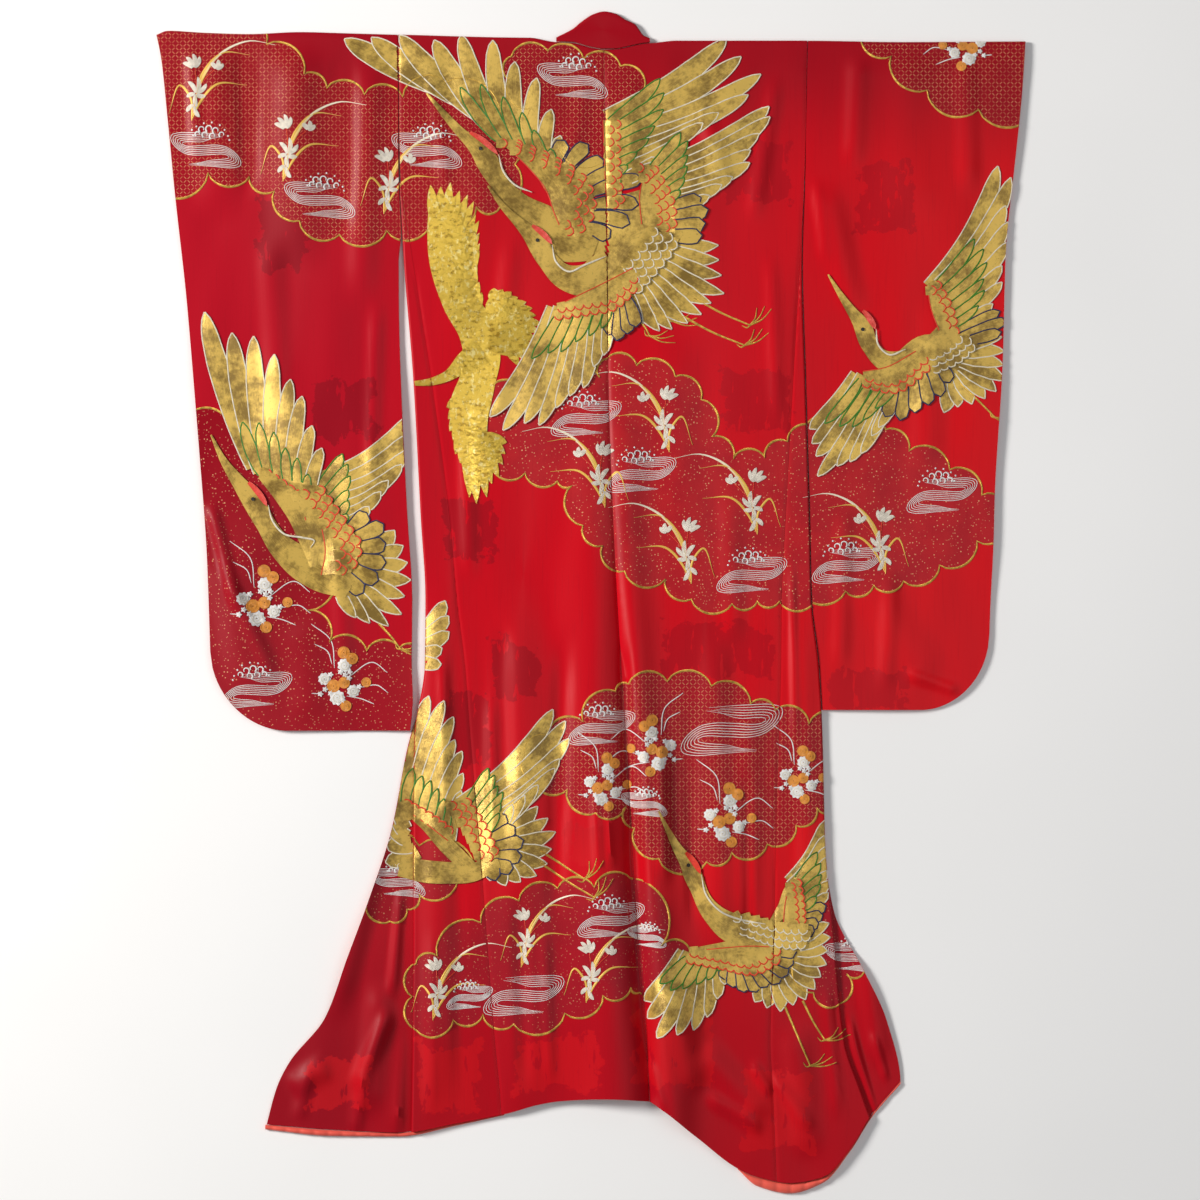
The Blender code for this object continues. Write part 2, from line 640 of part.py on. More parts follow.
def make_hem_roll(name, span, collection):
    """Build the padded roll below the silk's edge: a low round section, flat below."""
    outer_rows = []
    inner_rows = []
    for share in even(HEM_ROLL_STEPS):
        x = mix(span[0], span[1], share)
        near = HEM_SILK_Y(x) - HEM_ROLL_GAP
        far = min(HEM_ROLL_Y(x), near - HEM_ROLL_MIN)
        tall = min(HEM_ROLL_HEIGHT, HEM_ROLL_FULLNESS * (near - far) + HEM_ROLL_FLATTEST)
        side = HEM_ROLL_SIDE * tall
        path_out = []
        for angle in HEM_ROLL_ANGLES:
            turn = math.radians(angle)
            y = mix(far, near, 0.5 + 0.5 * math.cos(turn))
            path_out.append((x, y, side + (tall - side) * math.sin(turn)))
        path_in = [(x, y, UNDER_LEVEL) for x, y, z in path_out]
        outer_rows.append(path_out)
        inner_rows.append(path_in)
    return wall_between(name, outer_rows, inner_rows, hem_lining, collection)


def plain_material(name, finish):
    """Return the named plain material, made once."""
    found = bpy.data.materials.get(name)
    if found:
        return found
    material = bpy.data.materials.new(name)
    material.use_nodes = True
    shader = material.node_tree.nodes["Principled BSDF"]
    shader.inputs["Base Color"].default_value = (*finish.colour, 1.0)
    shader.inputs["Roughness"].default_value = finish.roughness
    shader.inputs["Metallic"].default_value = 0.0
    return material


def red_silk():
    return plain_material("red_silk", SILK)


def hem_lining():
    return plain_material("hem_lining", HEM_LINING)


def clear_scene():
    """Remove whatever objects the scene starts with."""
    for item in list(bpy.data.objects):
        bpy.data.objects.remove(item, do_unlink=True)


def build_backs(collection):
    across = crowded(BACK_STEPS[0], BACK_CROWDING)
    make_back("back_left", SEAM_LEFT_X, moved(CENTRE_X, -SEAM_GAP / 2), across, collection)
    mirrored = [1 - share for share in reversed(across)]
    make_back("back_right", moved(CENTRE_X, SEAM_GAP / 2), SEAM_RIGHT_X, mirrored, collection)


def build_fronts(collection):
    """Build both fronts and the strips that turn up round the body's sides."""
    inset = EDGE_TURN + FRONT_INSET
    rows_left = [row for row in FLARE_LEFT if row.y <= OVERLAP_TOP]
    rows_right = [row for row in FLARE_RIGHT if row.y <= OVERLAP_TOP]
    turn_left = curve_through(rows_left, "y", "turn")
    turn_right = curve_through(rows_right, "y", "turn")
    neck_left = curve_through(FRONT_NECK, "y", "left")
    neck_right = curve_through(FRONT_NECK, "y", "right")
    inner_left = lambda y: neck_left(y) if y > OVERLAP_TOP else turn_left(y)
    inner_right = lambda y: neck_right(y) if y > OVERLAP_TOP else turn_right(y)
    make_front("front_left", moved(FOLD_LEFT_X, inset), inner_left, collection)
    make_front("front_right", inner_right, moved(FOLD_RIGHT_X, -inset), collection)
    make_side_strip("front_left_turn", SEAM_LEFT_X, FOLD_LEFT_X, collection)
    make_side_strip("front_right_turn", SEAM_RIGHT_X, FOLD_RIGHT_X, collection)


def build_overlaps(collection):
    make_overlap("overlap_left", FLARE_LEFT, collection)
    make_overlap("overlap_right", FLARE_RIGHT, collection)


def build_sleeves(collection):
    make_sleeve("sleeve_left", SLEEVE_LEFT, SLEEVE_LEFT_CUT, collection)
    make_sleeve("sleeve_right", SLEEVE_RIGHT, SLEEVE_RIGHT_CUT, collection)


def build_collar(collection):
    make_collar_neck(collection)
    make_collar_run("collar_left", FLARE_LEFT, "left", -1, collection)
    make_collar_run("collar_right", FLARE_RIGHT, "right", 1, collection)


def build_hem(collection):
    make_hem_roll("hem_roll_left", HEM_ROLL_LEFT_SPAN, collection)
    make_hem_roll("hem_roll_right", HEM_ROLL_RIGHT_SPAN, collection)


def main():
    clear_scene()
    collection = bpy.data.collections.new("uchikake_kimono")
    bpy.context.scene.collection.children.link(collection)
    build_backs(collection)
    build_fronts(collection)
    build_overlaps(collection)
    build_sleeves(collection)
    build_collar(collection)
    build_hem(collection)


main()
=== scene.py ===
"""Looks of the uchikake wedding kimono, lying face down with its back up.

Each CAD piece gets a fine shell of padded satin on the same form, with small creases and seams.
The cloud grounds are woven in: the shells' points keep their distances to the outlines. Cranes,
clouds' edges, orchids, chrysanthemums and streams are laid and couched thread, set down on the
shells as raised meshes. Metres, +Z up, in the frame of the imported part.
"""
import math
from collections import namedtuple

import bmesh
import bpy
import numpy as np
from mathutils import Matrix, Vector
from mathutils.bvhtree import BVHTree


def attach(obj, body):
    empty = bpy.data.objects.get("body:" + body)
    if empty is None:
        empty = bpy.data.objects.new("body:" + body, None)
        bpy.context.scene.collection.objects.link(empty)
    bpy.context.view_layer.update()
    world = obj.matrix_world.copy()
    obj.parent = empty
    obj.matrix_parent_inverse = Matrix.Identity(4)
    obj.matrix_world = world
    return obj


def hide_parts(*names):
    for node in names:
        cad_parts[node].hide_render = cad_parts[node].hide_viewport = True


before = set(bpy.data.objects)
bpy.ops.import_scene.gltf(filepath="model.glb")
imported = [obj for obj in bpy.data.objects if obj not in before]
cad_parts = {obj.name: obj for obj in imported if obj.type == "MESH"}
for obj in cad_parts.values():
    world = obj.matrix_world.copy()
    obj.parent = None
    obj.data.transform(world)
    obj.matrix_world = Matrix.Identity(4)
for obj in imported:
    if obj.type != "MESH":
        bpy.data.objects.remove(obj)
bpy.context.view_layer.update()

# ---- cloth and layers, as in the part
WALL = 0.0024                  # silk, wadding and lining together
SEAM_GAP = 0.0003
LAYER = WALL + SEAM_GAP
UNDER_LEVEL = 0.0
FRONT_LEVEL = LAYER
BACK_LEVEL = 2 * LAYER
BACK_TOP = BACK_LEVEL + WALL
EDGE_TURN = 0.0034             # radius of a fold at an outer edge
SLEEVE_SHOULDER_TOP = 0.0078
SLEEVE_LOWER_TOP = 0.0053
SLEEVE_LEVEL_DROP = 0.30
OVERLAP_TOP = 0.529
OVERLAP_FLAT = 0.005
OVERLAP_LIP = 0.006
OVERLAP_EASE_LEFT = 0.020
OVERLAP_EASE_RIGHT = 0.012
NECK_GAP = 0.0012
NECK_EASE = 0.040
SHOULDER_EASE = 0.05
SHOULDER_MIDDLE_Y = 0.85
FRONT_TOP_INSET = 0.018
FRONT_INSET = 0.006
COLLAR_RUN_TOP = 0.826
COLLAR_RUN_END = 0.010
COLLAR_RUN_WIDTH = 0.050
COLLAR_RUN_EASE = 0.05
COLLAR_STAND_MIN = 0.001
HEM_ROLL_LEFT_SPAN = (-0.4880, -0.1300)
HEM_ROLL_RIGHT_SPAN = (0.2200, 0.4640)
HEM_ROLL_GAP = 0.0010
HEM_ROLL_MIN = 0.0016
HEM_ROLL_HEIGHT = 0.0085
HEM_ROLL_FULLNESS = 0.7
HEM_ROLL_FLATTEST = 0.002
HEM_ROLL_SIDE = 0.35
MEETING_ROUNDS = 8
CREASE_ANGLE = math.radians(50)
SLEEVE_LENGTH = 1.02           # lengths and widths of the pieces, for their numbers of rows and columns
SLEEVE_WIDTH = 0.33
BACK_LENGTH = 1.60
BACK_WIDTH = 0.25
FRONT_LENGTH = 1.58
FRONT_WIDTH = 0.30
SIDE_STRIP_WIDTH = 0.090
OVERLAP_LENGTH = 1.36
OVERLAP_SHOWN = 0.16
OVERLAP_HIDDEN = 0.09
COLLAR_WIDTH = 0.14
COLLAR_COLUMN = 0.003
COLLAR_ROW = 0.005
HEM_ROLL_COLUMN = 0.0025
PROBE_FROM = 0.1               # height from which the cloth is probed
COLLAR_FOLD_AREA = 0.0008      # cloth in the fold of the collar
SLEEVE_TOUCH = 0.0012          # a sleeve lies this close to the body
SLEEVE_GAP_TOP = 0.560         # the left sleeve parts from the body below this
CREASE_DEPTH = 1.3             # how much deeper than drawn the creases fall
HEM_STITCH = 0.021             # spacing of the hidden stitches that draw the hem roll in
HEM_STITCH_DRAW = 0.16


def metres(*values):
    """Return millimetres as metres."""
    return tuple(value / 1000 for value in values)


def mm(*values):
    """Return places in metres from x, y pairs in millimetres."""
    return list(zip(metres(*values[0::2]), metres(*values[1::2])))


def rows_of(kind, *table):
    """Return named rows in metres from rows in millimetres."""
    return [kind(*metres(*row)) for row in table]


# ---- lines across the body at one height: the side folds, the side seams, the centre seam
BodyRow = namedtuple("BodyRow", "y fold_left seam_left centre seam_right fold_right")
BODY = rows_of(BodyRow,
    (850, -289, -289, 19, 324, 324), (649, -287, -286, 22, 320, 320), (520, -281, -268, 24, 313, 316),
    (331, -266, -239, 26, 302, 321), (127, -255, -212, 33, 291, 327), (4, -248, -201, 39, 285, 330),
    (-94, -249, -189, 45, 284, 341), (-199, -264, -181, 52, 281, 347), (-358, -266, -167, 61, 276, 351),
    (-490, -266, -157, 69, 274, 363), (-658, -267, -144, 83, 268, 380), (-731, -268, -137, 87, 272, 404),
    (-877, -270, -128, 91, 278, 456)
)

# ---- lower edge: of the silk, and of the padded roll below it
HemRow = namedtuple("HemRow", "x silk roll")
HEM = rows_of(HemRow,
    (-488, -782, -790), (-389, -790, -800), (-289, -794, -801), (-200, -780, -784), (-129, -766, -768),
    (-80, -752, -753), (-45, -746, -747), (30, -741, -742), (83, -746, -747), (110, -760, -761),
    (156, -798, -799), (219, -847, -849), (249, -860, -875), (298, -869, -886), (348, -860, -870),
    (390, -815, -821), (421, -767, -772), (464, -717, -722)
)

# ---- the overlap beyond each side: its front edge and the fold where it turns under the front
FlareRow = namedtuple("FlareRow", "y edge turn")
FLARE_LEFT = rows_of(FlareRow,
    (529, -24, -2), (229, -106, -24), (4, -181, -61), (-146, -251, -75), (-209, -273, -83),
    (-341, -299, -108), (-446, -333, -128), (-530, -364, -148), (-623, -399, -178), (-689, -452, -194),
    (-727, -471, -204), (-790, -488, -216)
)
FLARE_RIGHT = rows_of(FlareRow,
    (529, 44, 32), (229, 134, 73), (-71, 224, 128), (-326, 314, 181), (-401, 351, 188), (-469, 366, 192),
    (-550, 408, 206), (-626, 443, 225), (-718, 464, 258), (-877, 466, 300)
)

# ---- the inner edge of each front above its overlap, at the neck
FrontRow = namedtuple("FrontRow", "y left right")
FRONT_NECK = rows_of(FrontRow,
    (850, -47, 96), (724, -24, 58), (529, -2, 32)
)

# ---- sleeves: outer and inner edge
SleeveRow = namedtuple("SleeveRow", "y outer inner")
SLEEVE_LEFT = rows_of(SleeveRow,
    (856, -652, -289.8), (811, -643, -289.4), (724, -634, -288.6), (619, -624, -288.4), (454, -606, -288),
    (229, -587, -281), (64, -575, -276), (-76, -570, -270), (-146, -567, -267), (-193, -566, -271)
)
SLEEVE_RIGHT = rows_of(SleeveRow,
    (844, 651, 324.8), (766, 646, 323.2), (649, 634, 321.2), (517, 621, 329), (368, 617, 332),
    (167, 605, 332), (94, 603, 333), (-47, 597, 340), (-116, 596, 346), (-161, 594, 351)
)
SleeveCut = namedtuple("SleeveCut", "bottom corner_across corner_up")
SLEEVE_LEFT_CUT = SleeveCut(-0.192, 0.112, 0.118)
SLEEVE_RIGHT_CUT = SleeveCut(-0.161, 0.100, 0.115)

# ---- the shoulder line
ShoulderRow = namedtuple("ShoulderRow", "x y")
SHOULDER = rows_of(ShoulderRow,
    (-651, 851), (-634, 857), (-580, 854), (-512, 852), (-436, 855), (-361, 853), (-289, 851),
    (-137, 847), (-52, 846), (88, 842), (324, 842), (464, 840), (651, 841)
)

# ---- the collar standing above the neckline: seam below, fold above
CollarRow = namedtuple("CollarRow", "x seam fold")
COLLAR = rows_of(CollarRow,
    (-52, 841, 847), (-27, 840, 860), (-15, 837, 870), (4, 832, 882), (20, 830, 886), (36, 830, 883),
    (53, 833, 873), (66, 836, 867), (79, 838.5, 850), (88, 839.5, 846)
)

# ---- the deep valley along the centre seam: height of the swell on each side, and its distance
ValleyRow = namedtuple("ValleyRow", "y rise reach_left reach_right")
VALLEY = rows_of(ValleyRow,
    (480, 0, 30, 22), (300, 4, 30, 22), (50, 9, 34, 22), (-150, 14, 40, 24), (-400, 19, 46, 28),
    (-650, 22, 50, 32), (-850, 21, 52, 34)
)

# ---- the other large folds, each a soft ridge from a start to an end
Fold = namedtuple("Fold", "x0 y0 x1 y1 half_width height")
BACK_FOLDS = rows_of(Fold,
    (-112, 80, -95, -800, 62, 8), (186, -20, 194, -560, 34, 6), (238, -120, 232, -500, 30, 5),
    (160, -660, 262, -780, 34, 7), (215, 820, 150, 520, 45, 4), (-190, 830, -170, 450, 50, 4),
    (120, 420, 150, 80, 50, 4)
)
SIDE_FOLDS = rows_of(Fold,
    (-232, 50, -225, -790, 36, 6), (315, 0, 330, -480, 30, 4.5), (300, -620, 330, -840, 34, 7)
)
OVERLAP_FOLDS = rows_of(Fold,
    (-300, -260, -392, -640, 34, 10), (-312, -560, -338, -780, 30, 7), (-390, -690, -455, -730, 28, 6),
    (404, -500, 436, -700, 26, 6)
)
SLEEVE_FOLDS = rows_of(Fold,
    (-440, 850, -445, 480, 55, 8), (-565, 850, -560, 560, 45, 6), (-330, 845, -345, 420, 34, 6),
    (-560, 80, -500, -150, 45, 5), (-440, -20, -420, -185, 40, 4), (345, 640, 400, 420, 32, 5),
    (470, 840, 480, 560, 50, 4), (400, 50, 520, -130, 45, 4)
)
FOLD_FADE = 0.22               # share of a fold's length over which each end dies away
STRIP_START = 0.135            # share down the back where a side strip starts


# ---- studio
CAMERA_CENTRE = (0.0135, 0.00375)
CAMERA_HEIGHT = 5.0
CAMERA_LENS = 100.0
CAMERA_SENSOR = 36.0
KEY_PLACE = (-4.4, 1.3, 3.0)
KEY_ENERGY = 372.0
FILL_PLACE = (1.5, -0.1, 3.0)
FILL_ENERGY = 26.0
WORLD_STRENGTH = 0.20
FLOOR_HALF = 6.0
FLOOR_DROP = 0.0004            # the floor lies this far below the cloth
KEY_SIZE = 1.6
FILL_SIZE = 3.0
KEY_COLOUR = (1.0, 0.97, 0.93)
FILL_COLOUR = (0.95, 0.97, 1.0)
FLOOR_TONE = (0.88, 0.88, 0.88)
FLOOR_TONE_DIM = (0.85, 0.85, 0.85)

# ---- threads and how thick they lie
FILL_LIFT = 0.00035            # the lowest fill above the cloth
FILL_CROWN = 0.00016
CORD_LIFT = 0.00030
SCALE_PITCH = 1.55             # length of a small feather for half its width
ROW_STEP = 0.00003             # each feather of a row over the one before
ROW_LIFT = 0.00026             # each row over the one before
CLOUD_CORD = 0.0031
SCALE_LIFT = 0.0002            # of small feathers above their field
SCALE_RANK_STEP = 0.00012
SCALE_STEP = 0.00001
NEAR_CORD = 0.0015             # the cord where small feathers start
NECK_CORD = 0.0026
LIMB_STEPS = 44                # points along a neck or a wing's arm
EYE_RADIUS = 0.0028
CROWN_HALF = 0.0046
LEG_WIDTHS = (0.0036, 0.0024)  # from the body to the foot
TOE_WIDTHS = (0.0026, 0.0010)
TOES = ((0.05, 0.040), (0.32, 0.036), (0.60, 0.028), (2.6, 0.012))    # turn in radians, length
COVERED_BY = 0.0003            # a cord this far under a later fill is left out
NUDGE = 1e-7                   # keeps an outline's points apart
GRASS_THREAD = 0.0014
BLOSSOM_RADIUS = 0.0036
PETAL_HALF = 0.0035
PETAL_BOW = 0.12
CURL_WIDTHS = (0.0024, 0.0013)
DROP_RADIUS = 0.0014
STREAM_THREAD = 0.0009
FULLNESS = {"blade": 1.12, "leaf": 1.12, "paddle": 1.22, "point": 1.1, "scale": 1.0}
EDGE_WIDTH = {"cream": 0.0018, "green": 0.0021, "navy": 0.0021, "vermilion": 0.0021}

# ---- the finer relief of the cloth: creases (height below 0 is a trough), seams, ripple
BACK_CREASES = rows_of(Fold,
    (-39, -30, -56, -500, 22, -4), (6, -270, 12, -420, 10, 3), (26, -300, 30, -400, 8, 2.6),
    (69, -170, 74, -480, 12, -4), (104, -180, 110, -430, 17, 5), (148, -160, 152, -500, 13, -3.8),
    (232, -240, 236, -520, 12, -3.6), (170, -735, 262, -792, 16, 5.2), (240, -688, 270, -738, 12, 4),
    (86, -680, 110, -764, 11, 3.4), (120, -560, 160, -740, 28, 4.6), (-108, -420, -98, -745, 18, -3.8),
    (-70, -470, -60, -735, 14, 3.2), (-150, -120, -146, -420, 16, 3.4), (150, 800, 205, 610, 20, 3),
    (280, 800, 240, 560, 18, 3.4), (268, 540, 280, 250, 16, 2.6), (-240, 820, -215, 600, 18, 3.4),
    (-120, 560, -140, 250, 24, 3), (-190, 330, -180, 20, 20, 3.6), (205, 180, 215, -80, 26, 3.4),
    (-10, 800, -30, 620, 20, 2.2), (60, 790, 70, 600, 20, 2.4), (49, -50, 58, -300, 12, -5.2),
    (58, -300, 82, -730, 13, -5.2), (-132, -20, -128, -300, 20, -3.4)
)
SIDE_CREASES = rows_of(Fold,
    (-222, -60, -214, -360, 14, 3), (-200, -400, -196, -770, 13, -3), (-240, -480, -238, -780, 12, 3.4),
    (272, -706, 330, -792, 14, 5), (350, -560, 372, -780, 12, 3.6), (300, 80, 306, -240, 10, 2.6)
)
OVERLAP_CREASES = rows_of(Fold,
    (-296, -600, -356, -735, 18, 5.8), (-338, -700, -354, -800, 12, 4), (-282, -420, -300, -600, 14, 4.4),
    (-420, -690, -440, -780, 14, 3), (-275, -640, -290, -800, 12, 3.6), (380, -610, 424, -775, 12, 4.8),
    (420, -640, 445, -720, 10, 3)
)
SLEEVE_CREASES = rows_of(Fold,
    (-512, 846, -512, 600, 24, -5), (-369, 840, -372, 540, 22, -4.8), (-600, 850, -590, 640, 18, 3.6),
    (-480, 560, -470, 300, 30, 3.4), (-320, 470, -330, 160, 18, 3.2), (-572, 160, -526, -20, 16, 5),
    (-545, 40, -470, -120, 18, 3.8), (-380, 100, -365, -160, 22, 3), (336, 640, 352, 500, 14, 2.2),
    (468, -104, 556, -134, 12, 4.4), (560, 840, 566, 600, 26, 3.6), (400, 835, 392, 640, 24, 3.2),
    (520, 480, 500, 180, 36, 3), (380, 160, 372, -120, 22, 3.4), (450, 60, 440, -140, 20, 2.8)
)
Wave = namedtuple("Wave", "length_x length_y phase height")
RIPPLE = [
    Wave(0.31, 0.90, 0.4, 0.0011),
    Wave(0.17, -0.52, 2.1, 0.0008),
    Wave(0.095, 0.61, 4.0, 0.0005),
    Wave(0.23, 0.21, 1.3, 0.0006),
    Wave(0.061, -0.33, 5.2, 0.00022),
]
RIPPLE_LEVEL = 0.0022          # raises the ripple so that it never digs into the layer below
SEAM_DROP = 0.0009             # the cloth dips to a seam
SEAM_REACH = 0.0030
PUCKER = 0.00045               # small gathers along a seam
PUCKER_PITCH = 0.0125
PUCKER_REACH = 0.0080
COLUMN = 0.0058                # size of the shells' faces
ROW = 0.0072
SEAM_COLUMNS = (0.0, 0.0010, 0.0022, 0.0036, 0.0058)
HIDDEN_SHARE = 6               # hidden fronts are this much coarser

# ---- the woven cloud grounds: points where the scallops meet, clockwise
Cloud = namedtuple("Cloud", "ground place cusps")
LATTICE = "lattice"
DOTS = "dots"
CLOUDS = [
    Cloud(LATTICE, "sleeve_left body", mm(-661,874, -526,874, -486,836, -429,790, -396,770, -339,760,
        -282,757, -217,778, -137,724, -114,656, -137,590, -171,592, -241,566, -306,557, -377,551, -436,571,
        -474,616, -512,638, -573,643, -654,619)),
    Cloud(LATTICE, "body", mm(-119,818, -65,826, -11,814, 44,803, 80,770, 73,724, 21,664, -46,679, -91,739,
        -124,784)),
    Cloud(LATTICE, "sleeve_right", mm(405,850, 665,860, 665,735, 580,738, 503,767, 449,818)),
    Cloud(DOTS, "body", mm(24,365, 68,355, 126,338, 165,304, 181,248, 213,215, 260,217, 294,241, 336,262,
        336,4, 282,2, 249,2, 211,-2, 150,5, 111,35, 50,47, 17,85, -12,115, -29,175, -50,182, -99,194,
        -148,202, -181,244, -159,304, -106,326, -46,334, 13,337)),
    Cloud(DOTS, "sleeve_right", mm(314,244, 389,274, 441,259, 476,227, 537,199, 585,161, 629,124, 578,92,
        522,56, 468,32, 423,26, 381,17, 314,16)),
    Cloud(DOTS, "sleeve_left", mm(-602,281, -541,263, -493,244, -436,124, -392,64, -424,-12, -392,-59,
        -336,-73, -287,-68, -249,-79, -249,-206, -602,-206)),
    Cloud(LATTICE, "body", mm(-65,-199, -12,-178, 37,-133, 56,-122, 114,-118, 180,-125, 239,-152, 276,-161,
        326,-182, 381,-176, 381,-304, 338,-307, 307,-334, 264,-362, 210,-374, 173,-388, 101,-382, 65,-338,
        52,-305, 7,-314, -36,-280, -84,-266, -99,-229)),
    Cloud(DOTS, "body", mm(-262,-541, -230,-529, -165,-479, -108,-446, -50,-428, 5,-425, 59,-413, 105,-512,
        148,-521, 164,-559, 73,-584, 60,-575, 18,-586, -39,-614, -116,-631, -162,-617, -206,-625, -262,-640,
        -268,-591)),
    Cloud(DOTS, "body", mm(-354,-371, -257,-364, -174,-401, -200,-416, -258,-437, -276,-460, -301,-478,
        -336,-451, -361,-431)),
    Cloud(DOTS, "body", mm(314,-446, 404,-446, 433,-521, 408,-554, 383,-557, 373,-601, 333,-584, 306,-536)),
]
CLOUD_BULGE = 0.30             # height of a scallop for its chord
SCALLOP_STEPS = 12

# ---- patches of tone-on-tone figure in the silk: low corner, high corner
Patch = namedtuple("Patch", "x0 y0 x1 y1")
FIGURE = rows_of(Patch,
    (-420, 244, -324, 334), (-497, 491, -429, 604), (194, 259, 299, 349), (350, -161, 470, -98),
    (-152, -146, -80, -56), (205, 600, 300, 690), (400, 560, 480, 660), (-225, 60, -150, 150),
    (110, -110, 270, -30), (-225, -250, -150, -130), (60, -720, 180, -600), (-110, -730, 10, -650),
    (-255, -760, -170, -660), (-420, -760, -330, -680), (230, -820, 330, -700), (240, -560, 330, -480),
    (-40, -400, 50, -330)
)


def steady_slopes(knots, values):
    """Return slopes at the knots that never let the curve swing past its values."""
    secants = np.diff(values) / np.diff(knots)
    slopes = [secants[0]]
    for before, after in zip(secants[:-1], secants[1:]):
        slopes.append(0.0 if before * after <= 0 else 2 * before * after / (before + after))
    slopes.append(secants[-1])
    return np.array(slopes)


def hermite(values, slopes, index, span, s):
    """Return a smooth curve's values at a share s of the span that starts at an index."""
    start = (1 + 2 * s) * (1 - s) ** 2 * values[index] + s * (1 - s) ** 2 * span * slopes[index]
    end = s * s * (3 - 2 * s) * values[index + 1] + s * s * (s - 1) * span * slopes[index + 1]
    return start + end


def curve_through(rows, key, name):
    """Return a function: column `name` at values of column `key`, smooth through the rows."""
    pairs = sorted((getattr(row, key), getattr(row, name)) for row in rows)
    knots = np.array([pair[0] for pair in pairs])
    values = np.array([pair[1] for pair in pairs])
    slopes = steady_slopes(knots, values)

    def at(where):
        place = np.clip(where, knots[0], knots[-1])
        index = np.clip(np.searchsorted(knots, place, side="right") - 1, 0, len(knots) - 2)
        span = knots[index + 1] - knots[index]
        s = (place - knots[index]) / span
        return hermite(values, slopes, index, span, s)

    return at


FOLD_LEFT_X = curve_through(BODY, "y", "fold_left")
SEAM_LEFT_X = curve_through(BODY, "y", "seam_left")
CENTRE_X = curve_through(BODY, "y", "centre")
SEAM_RIGHT_X = curve_through(BODY, "y", "seam_right")
FOLD_RIGHT_X = curve_through(BODY, "y", "fold_right")
SHOULDER_Y = curve_through(SHOULDER, "x", "y")
HEM_SILK_Y = curve_through(HEM, "x", "silk")
HEM_ROLL_Y = curve_through(HEM, "x", "roll")
COLLAR_SEAM_Y = curve_through(COLLAR, "x", "seam")
COLLAR_FOLD_Y = curve_through(COLLAR, "x", "fold")
VALLEY_RISE = curve_through(VALLEY, "y", "rise")
VALLEY_REACH_LEFT = curve_through(VALLEY, "y", "reach_left")
VALLEY_REACH_RIGHT = curve_through(VALLEY, "y", "reach_right")


def moved(curve, distance):
    return lambda where: curve(where) + distance


def level(value):
    """Return a curve of one value everywhere."""
    return lambda where: np.zeros_like(where) + value


def mix(low, high, share):
    return low + (high - low) * share


def soft_step(value):
    share = np.clip(value, 0.0, 1.0)
    return share * share * (3 - 2 * share)


def back_top_y(x):
    """Return the upper edge of the back: the shoulder line, dipping along the collar's seam."""
    beyond = np.maximum(np.maximum(COLLAR[0].x - x, x - COLLAR[-1].x), 0.0)
    near_collar = np.clip(x, COLLAR[0].x, COLLAR[-1].x)
    dip = SHOULDER_Y(near_collar) - COLLAR_SEAM_Y(near_collar) + NECK_GAP
    return SHOULDER_Y(x) - dip * soft_step(1 - beyond / NECK_EASE)


def fold_height(folds, x, y):
    """Return the height that soft ridges and troughs add at points."""
    total = np.zeros(np.broadcast(x, y).shape)
    for fold in folds:
        run_x, run_y = fold.x1 - fold.x0, fold.y1 - fold.y0
        length = math.hypot(run_x, run_y)
        share = ((x - fold.x0) * run_x + (y - fold.y0) * run_y) / length ** 2
        distance = np.abs((x - fold.x0) * run_y - (y - fold.y0) * run_x) / length
        across = np.cos(0.5 * np.pi * np.clip(distance / fold.half_width, 0, 1)) ** 2
        ends = soft_step(share / FOLD_FADE) * soft_step((1 - share) / FOLD_FADE)
        total = total + fold.height * across * ends
    return total


def ripple(x, y):
    """Return the slow uneven swell of cloth that lies loose."""
    total = np.zeros(np.broadcast(x, y).shape) + RIPPLE_LEVEL
    for wave in RIPPLE:
        angle = 2 * np.pi * (x / wave.length_x + y / wave.length_y) + wave.phase
        total = total + wave.height * np.sin(angle)
    return total


def loose_height(folds, creases, x, y):
    """Return the height of large folds, creases and ripple together."""
    return fold_height(folds, x, y) + CREASE_DEPTH * fold_height(creases, x, y) + ripple(x, y)


def seam_dip(distance, along):
    """Return how far the cloth dips near a seam, with small uneven gathers."""
    dip = SEAM_DROP * np.exp(-(distance / SEAM_REACH) ** 2)
    beat = np.sin(2 * np.pi * along / PUCKER_PITCH + 2.2 * np.sin(along * 31.0))
    uneven = 0.5 + 0.5 * np.sin(along * 17.0 + 1.0)
    return dip + PUCKER * uneven * (1 + beat) * np.exp(-distance / PUCKER_REACH)


def valley_height(x, y):
    distance = x - CENTRE_X(y)
    reach = np.where(distance > 0, VALLEY_REACH_RIGHT(y), VALLEY_REACH_LEFT(y))
    share = np.abs(distance) / reach
    return VALLEY_RISE(y) * share * np.exp(0.5 * (1 - share * share))


def body_height(x, y, extra):
    """Return the upper face of the body, never below where it rests."""
    seam = np.minimum(np.abs(x - CENTRE_X(y)), np.abs(x - SEAM_LEFT_X(y)))
    seam = np.minimum(seam, np.abs(x - SEAM_RIGHT_X(y)))
    calm = soft_step((back_top_y(x) - y) / SHOULDER_EASE)
    relief = loose_height([], BACK_CREASES + extra, x, y) - seam_dip(seam, y)
    base = valley_height(x, y) + fold_height(BACK_FOLDS, x, y)
    return BACK_TOP + np.maximum(base + mix(0.3, 1.0, calm) * relief, 0.0)


def back_height(x, y):
    return body_height(x, y, [])


def strip_height(x, y):
    calm = soft_step((back_top_y(x) - y) / SHOULDER_EASE)
    return body_height(x, y, SIDE_CREASES) + calm * fold_height(SIDE_FOLDS, x, y)


